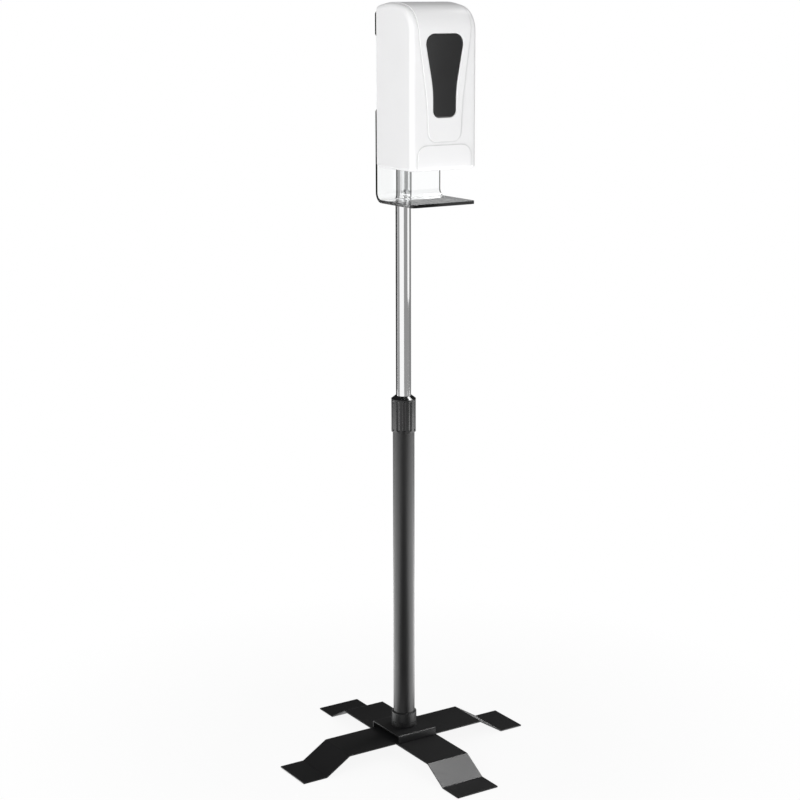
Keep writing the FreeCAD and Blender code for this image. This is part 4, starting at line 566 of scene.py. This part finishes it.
# Screws, saddle washers and cap nuts: they hold back plate and tray to the pole. The
# nuts are plated and domed, and bear on two moulded saddle washers behind the pole.
NUT_SEAT, NUT_FLATS, NUT_BODY, NUT_DOME = 0.0155, 0.008, 0.004, 0.0036
LOWER_NUT, NUT_SPACING = 1.094, 0.088
cap_nut = rod("domed_nuts", 6, NUT_FLATS / math.sqrt(3), NUT_BODY,
              (0, NUT_SEAT + NUT_BODY / 2, LOWER_NUT), "Y")
start_new()
bpy.ops.mesh.primitive_uv_sphere_add(segments=32, ring_count=16, radius=NUT_DOME,
                                     rotation=(math.pi / 2, 0, 0),
                                     location=(0, NUT_SEAT + NUT_BODY, LOWER_NUT))
cut(cap_nut, add_piece("nut_dome"), "UNION")
bpy.ops.object.mode_set(mode="EDIT")
bpy.ops.mesh.select_all(action="SELECT")
bpy.ops.mesh.duplicate()
bpy.ops.transform.translate(value=(0, 0, NUT_SPACING))
finish_piece(cap_nut, "pole", ["cap_nuts"], zinc, edge=0.0002)


def smooth_copy(name, body, material):
    """A copy of a CAD piece, its seams merged and its round faces smooth, in a finish."""
    piece = bpy.data.objects.new(f"smooth_{name}", nodes[name].data.copy())
    bpy.context.scene.collection.objects.link(piece)
    piece.data.materials.clear()
    start_new()
    piece.select_set(True)
    bpy.context.view_layer.objects.active = piece
    bpy.ops.object.mode_set(mode="EDIT")
    bpy.ops.mesh.select_all(action="SELECT")
    bpy.ops.mesh.remove_doubles(threshold=1e-6)
    bpy.ops.object.mode_set(mode="OBJECT")
    finish_piece(piece, body, [name], material, smooth=28)


smooth_copy("mount_screws", "pole", zinc)
smooth_copy("saddle_washers", "pole", collar_plastic)


# Front cover: an injection moulded shell of white plastic with a satin gloss. A raised
# tongue runs down its front from the top, a raised arch stands at its foot, and the
# window sits in a soft-edged opening. Its bottom is open and its bosses turn on two pins.
HOUSE_Y = -0.0176
HOUSE_Z = 0.994
COVER_HALF = 0.0605
COVER_DEPTH = 0.0995
COVER_HEIGHT = 0.252
COVER_WALL = 0.0025
PANEL_RAISE = 0.0015
COVER_GAP = 0.0004
CROWN_RADIUS, CROWN_SET = 0.150, 0.033
NOSE_RADIUS = 0.0405
SIDE_ROUND, FOOT_ROUND = 0.008, 0.006
cover_plastic = surface("cover_plastic", (0.84, 0.84, 0.845), 0.32, 0.0016, 0.000012, mottle=0.012,
                        unevenness=0.05)
tree = cover_plastic.node_tree
shader = shader_of(cover_plastic)
# Painted shade: ambient occlusion within 2.5 mm darkens the base colour in creases, at the foot of the
# raised tongue and arch and round the window, mixed in at 0.7.
painted_crease_shade = tree.nodes.new("ShaderNodeAmbientOcclusion")
painted_crease_shade.samples = 8
painted_crease_shade.only_local = True
painted_crease_shade.inputs["Distance"].default_value = 0.0025
shade = tree.nodes.new("ShaderNodeMix")
shade.data_type = "RGBA"
shade.inputs["Factor"].default_value = 0.7
even_tone = shader.inputs["Base Color"].links[0].from_socket
tree.links.new(even_tone, painted_crease_shade.inputs["Color"])
tree.links.new(even_tone, shade.inputs["A"])
tree.links.new(painted_crease_shade.outputs["Color"], shade.inputs["B"])
tree.links.new(shade.outputs["Result"], shader.inputs["Base Color"])


def housing_form(name, inset, rear):
    """The dispenser's closed form, every face moved inwards by inset, cut off at rear."""
    half, depth, foot = COVER_HALF - inset, COVER_DEPTH - inset, HOUSE_Z + inset
    crown = (0, HOUSE_Y - CROWN_SET, HOUSE_Z + COVER_HEIGHT - CROWN_RADIUS)
    reach = CROWN_RADIUS - NOSE_RADIUS
    back = COVER_DEPTH - NOSE_RADIUS - CROWN_SET
    nose = (0, HOUSE_Y - COVER_DEPTH + NOSE_RADIUS, crown[2] + math.sqrt(reach ** 2 - back ** 2))
    nose_turn = math.atan2(nose[2] - crown[2], back)
    rear_y = HOUSE_Y + rear
    crown_turn = math.pi - math.acos((rear_y - crown[1]) / (CROWN_RADIUS - inset)) - nose_turn
    middle = (0, (rear_y + HOUSE_Y - depth) / 2, foot)
    start_new()
    bpy.ops.mesh.primitive_plane_add(size=1, location=middle)
    form = add_piece(name)
    bpy.ops.transform.resize(value=(half * 2, rear_y - HOUSE_Y + depth, 1), center_override=middle)
    choose("EDGE", lambda spot, edge: near(spot.y, HOUSE_Y - depth))
    draw_out(0, 0, nose[2] - foot)
    bpy.ops.mesh.spin(steps=20, angle=nose_turn, center=nose, axis=(1, 0, 0))
    bpy.ops.mesh.spin(steps=10, angle=crown_turn, center=crown, axis=(1, 0, 0))
    bpy.ops.mesh.select_all(action="SELECT")
    bpy.ops.mesh.remove_doubles(threshold=2e-6)
    choose("EDGE", lambda spot, edge: all(near(vert.co.y, rear_y) for vert in edge.verts))
    bpy.ops.mesh.edge_face_add()
    for side in (-1, 1):
        choose("EDGE", lambda spot, edge: near(spot.x, side * half))
        bpy.ops.mesh.edge_face_add()
    choose("EDGE", lambda spot, edge: near(abs(spot.x), half) and not near(spot.z, foot)
           and not near(edge.verts[0].co.y + edge.verts[1].co.y, rear_y * 2))
    bpy.ops.mesh.bevel(offset=SIDE_ROUND - inset, segments=8, affect="EDGES")
    choose("EDGE", lambda spot, edge: all(near(vert.co.z, foot) for vert in edge.verts)
           and not all(near(vert.co.y, rear_y) for vert in edge.verts))
    bpy.ops.mesh.bevel(offset=FOOT_ROUND - inset, segments=6, affect="EDGES")
    bpy.ops.mesh.select_all(action="SELECT")
    bpy.ops.mesh.remove_doubles(threshold=2e-6)
    bpy.ops.mesh.normals_make_consistent(inside=False)
    bpy.ops.object.mode_set(mode="OBJECT")
    return form


def front_outline(name, rungs, rounds, near_y, far_y):
    """A prism along Y from rungs of (half width, height), with rounded corners at given rungs."""
    (low_half, low), (half, level) = rungs[0], rungs[1]
    middle = (0, near_y, (low + level) / 2)
    start_new()
    bpy.ops.mesh.primitive_plane_add(size=1, rotation=(math.pi / 2, 0, 0), location=middle)
    prism = add_piece(name)
    bpy.ops.transform.resize(value=(low_half * 2, 1, level - low), center_override=middle)
    choose("EDGE", lambda spot, edge: near(spot.z, level) and near(spot.x, 0))
    bpy.ops.transform.resize(value=(half / low_half, 1, 1), center_override=(0, near_y, level))
    for next_half, next_level in rungs[2:]:
        draw_out(0, 0, next_level - level)
        bpy.ops.transform.resize(value=(next_half / half, 1, 1), center_override=(0, near_y, next_level))
        half, level = next_half, next_level
    bpy.ops.mesh.select_all(action="SELECT")
    bpy.ops.mesh.dissolve_limited(angle_limit=math.radians(0.1))
    for number, offset, segments in rounds:
        at = rungs[number][1]
        choose("VERT", lambda spot, vert: near(spot.z, at))
        bpy.ops.mesh.bevel(offset=offset, segments=segments, affect="VERTICES")
    bpy.ops.mesh.select_all(action="SELECT")
    draw_out(0, far_y - near_y, 0)
    bpy.ops.mesh.select_all(action="SELECT")
    bpy.ops.mesh.normals_make_consistent(inside=False)
    bpy.ops.object.mode_set(mode="OBJECT")
    return prism


SHARP = 0.6


def soften(piece, width, segments, test):
    """Round the sharp edges of a piece that pass the test."""
    start_new()
    piece.select_set(True)
    bpy.context.view_layer.objects.active = piece
    bpy.ops.object.mode_set(mode="EDIT")
    choose("EDGE", lambda spot, edge: len(edge.link_faces) == 2 and edge.calc_face_angle() > SHARP
           and test(spot))
    bpy.ops.mesh.bevel(offset=width, segments=segments, affect="EDGES")
    bpy.ops.object.mode_set(mode="OBJECT")


FRONT_Y = HOUSE_Y - COVER_DEPTH
cover = housing_form("moulded_cover", 0.0, -COVER_GAP)
for name, rungs, rounds in (
        ("raised_tongue", [(0.0295, 0.044), (0.033, 0.106), (0.048, 0.211), (0.050, 0.296)],
         [(0, 0.0142, 8), (1, 0.014, 4), (2, 0.0089, 5)]),
        ("raised_arch", [(0.0495, 0.001), (0.0495, 0.039)], [(1, 0.017, 8)])):
    panel = housing_form(name, -PANEL_RAISE, -COVER_GAP)
    rungs = [(half, HOUSE_Z + level) for half, level in rungs]
    cut(panel, front_outline("panel_cutter", rungs, rounds, HOUSE_Y + 0.02, FRONT_Y - 0.02), "INTERSECT")
    soften(panel, 0.0011, 3, lambda spot: spot.y < HOUSE_Y - 0.001)
    cut(cover, panel, "UNION")
cut(cover, housing_form("cover_hollow", COVER_WALL, COVER_WALL))
WINDOW_RUNGS = [(0.0213, 0.0805), (0.0213, 0.124), (0.0373, 0.2068)]


def window_prism(name, grow, near_y, far_y):
    """A prism along Y in the window's outline, grown at its foot, top and sides."""
    rungs = [(half + grow, HOUSE_Z + level) for half, level in WINDOW_RUNGS]
    rungs[0] = (rungs[0][0], rungs[0][1] - grow)
    rungs[2] = (rungs[2][0], rungs[2][1] + grow)
    return front_outline(name, rungs, [(0, 0.011, 8), (1, 0.0153, 6), (2, 0.0194, 10)], near_y, far_y)


cut(cover, window_prism("window_hole", 0.0, FRONT_Y + 0.012, FRONT_Y - 0.012))
WINDOW_EDGE_TOP = 0.209
soften(cover, 0.0014, 3, lambda spot: near(spot.y, FRONT_Y - PANEL_RAISE)
       and spot.z < HOUSE_Z + WINDOW_EDGE_TOP)
LIP_IN, WALL_IN = 0.052, 0.058
HOLE_DEPTH, REAR_DEPTH, REAR_SET = 0.091, 0.020, 0.004
cut(cover, block("foot_hole", (0, HOUSE_Y - HOLE_DEPTH / 2, HOUSE_Z), (LIP_IN * 2, HOLE_DEPTH, 0.0048)))
cut(cover, block("rear_hole", (0, HOUSE_Y - REAR_SET, HOUSE_Z), (WALL_IN * 2, REAR_DEPTH, 0.0052)))
LOCK_Y, LOCK_BORE = HOUSE_Y - 0.020, 0.00608
cut(cover, rod("lock_bore", 48, LOCK_BORE, 0.02, (0, LOCK_Y, HOUSE_Z + COVER_HEIGHT)))
HINGE_INSET = 0.0065
HINGE_Y, HINGE_Z = HOUSE_Y - COVER_GAP - HINGE_INSET, HOUSE_Z + HINGE_INSET
corner_y, corner_z = HOUSE_Y + COVER_WALL, HOUSE_Z - COVER_WALL
corner_waste = block("hinge_corner_waste", (0, (corner_y + HINGE_Y) / 2, (corner_z + HINGE_Z) / 2),
                     (COVER_HALF * 2.4, corner_y - HINGE_Y, HINGE_Z - corner_z))
cut(corner_waste, rod("hinge_corner_round", 64, HINGE_INSET, COVER_HALF * 2.8, (0, HINGE_Y, HINGE_Z), "X"))
cut(cover, corner_waste)
for side in (-1, 1):
    for name, radius, start, end, operation in (("hinge_boss", 0.005, 0.0548, 0.0586, "UNION"),
                                                ("pin_bore", 0.00208, 0.0540, 0.0596, "DIFFERENCE")):
        bar = rod(name, 32, radius, end - start, (side * (start + end) / 2, HINGE_Y, HINGE_Z), "X")
        cut(cover, bar, operation)
finish_piece(cover, "cover", ["front_cover"], cover_plastic, smooth=32)


# Window: smoked plastic, polished, seated in the opening from behind a little below
# the tongue's face.
WINDOW_FIT = 0.0003
WINDOW_FACE = FRONT_Y - PANEL_RAISE + 0.0008
smoke = surface("smoked_plastic", (0.027, 0.027, 0.0275), 0.12, 0.02, 0.00001, mottle=0.05,
                unevenness=0.05)
window = window_prism("smoked_pane", -WINDOW_FIT, FRONT_Y + COVER_WALL, WINDOW_FACE)
soften(window, 0.0016, 3, lambda spot: near(spot.y, WINDOW_FACE))
finish_piece(window, "cover", ["smoked_window"], smoke)


# Back plate, hinge pins, lock, and the module behind the cover: moulded plastic, plated
# metal and rubber. Back plate, case and barrel are smoothed copies, and the others keep
# the shape that they have and get their finishes.
plate_plastic = surface("plate_plastic", (0.78, 0.79, 0.80), 0.42, 0.0014, 0.00003, mottle=0.02)
case_plastic = surface("case_plastic", (0.55, 0.56, 0.57), 0.45, 0.0012, 0.00004, mottle=0.03)
milky_rubber = surface("milky_rubber", (0.7, 0.7, 0.68), 0.5, 0.002, 0.00003)
spring_strip = surface("nickel_strip", (0.62, 0.6, 0.54), 0.28, 0.001, 0.00001, metallic=1.0)
lens_tint = surface("dark_lens", (0.03, 0.008, 0.012), 0.08, 0.02, 0.00001)
board_green = surface("board_lacquer", (0.02, 0.12, 0.05), 0.3, 0.0011, 0.00002)
cell_jacket = surface("cell_jacket", (0.05, 0.06, 0.09), 0.25, 0.01, 0.00001)
bottle_skin = surface("bottle_skin", (0.75, 0.86, 0.9), 0.28, 0.003, 0.00004, mottle=0.02)
shader_of(bottle_skin).inputs["Transmission Weight"].default_value = 0.55
green_lens = surface("green_lens", (0.05, 0.4, 0.12), 0.15, 0.01, 0.00001)
dress(plate_plastic, "nozzle")
dress(zinc, "hinge_pin_left", "hinge_pin_right", "lock_cam", "cam_screw", "case_screws", "lid_screws",
      "pump_motor")
dress(case_plastic, "module_lid", "battery_door")
dress(collar_plastic, "battery_box", "pump_head", "switch_body", "switch_knob")
dress(cell_jacket, "battery_1", "battery_2", "battery_3", "battery_4")
dress(spring_strip, "lower_contact", "upper_contact")
dress(milky_rubber, "suction_pipe", "valve_seal")
dress(lens_tint, "sensor_lens")
dress(board_green, "circuit_board")
dress(green_lens, "indicator_lens")
smooth_copy("back_plate", "pole", plate_plastic)
smooth_copy("module_case", "pole", case_plastic)
smooth_copy("lock_barrel", "lock", zinc)


# Refill bottle: blow moulded, full of sanitizer, with a round shoulder, a plain neck and
# an outlet that plugs into the pump. It stands on the module case.
BOTTLE_WIDTH, BOTTLE_DEPTH = 0.100, 0.071
BOTTLE_Y = HOUSE_Y - 0.0445
OUTLET_Y = HOUSE_Y - 0.052
OUTLET_FOOT, BOTTLE_FOOT, BOTTLE_TOP, NECK_TOP = 1.070, 1.078, 1.210, 1.220
STUB_ROOT = 0.004
middle = (0, BOTTLE_Y, (BOTTLE_FOOT + BOTTLE_TOP) / 2)
bottle = block("moulded_bottle", middle, (BOTTLE_WIDTH, BOTTLE_DEPTH, BOTTLE_TOP - BOTTLE_FOOT))
choose("EDGE", lambda spot, edge: near(spot.z, middle[2]))
bpy.ops.mesh.bevel(offset=0.012, segments=8, affect="EDGES")
choose("EDGE", lambda spot, edge: all(near(vert.co.z, BOTTLE_TOP) for vert in edge.verts))
bpy.ops.mesh.bevel(offset=0.008, segments=6, affect="EDGES")
for name, radius, low, high, spot_y in (
        ("bottle_neck", 0.016, BOTTLE_TOP - STUB_ROOT, NECK_TOP, BOTTLE_Y),
        ("bottle_outlet", 0.008, OUTLET_FOOT, BOTTLE_FOOT + STUB_ROOT, OUTLET_Y)):
    cut(bottle, rod(name, 64, radius, high - low, (0, spot_y, (low + high) / 2)), "UNION")
finish_piece(bottle, "pole", ["refill_bottle"], bottle_skin, smooth=28)


# Bottle cap: moulded, with eighteen grooves for the fingers. It unscrews from the neck
# for a refill.
CAP_FOOT, CAP_TOP, CAP_ROOF = 1.2103, 1.223, 1.2203
CAP_RADIUS, CAP_BORE = 0.020, 0.0163
GROOVES, GROOVE_RADIUS, GROOVE_FOOT, GROOVE_LENGTH = 18, 0.0015, 1.212, 0.012
bottle_cap = turned("grooved_cap", [
    (CAP_BORE, CAP_FOOT), (CAP_RADIUS, CAP_FOOT), (CAP_RADIUS, CAP_TOP - 0.001),
    (CAP_RADIUS - 0.001, CAP_TOP), (CENTRE, CAP_TOP), (CENTRE, CAP_ROOF), (CAP_BORE, CAP_ROOF)], facets=144)
grooves = rod("groove_cutter", 16, GROOVE_RADIUS, GROOVE_LENGTH,
              (CAP_RADIUS + GROOVE_RADIUS / 2, 0, GROOVE_FOOT + GROOVE_LENGTH / 2))
repeat_round(GROOVES)
cut(bottle_cap, grooves)
bpy.ops.object.mode_set(mode="EDIT")
bpy.ops.mesh.select_all(action="SELECT")
bpy.ops.transform.translate(value=(0, BOTTLE_Y, 0))
finish_piece(bottle_cap, "cap", ["bottle_cap"], plate_plastic, smooth=28)
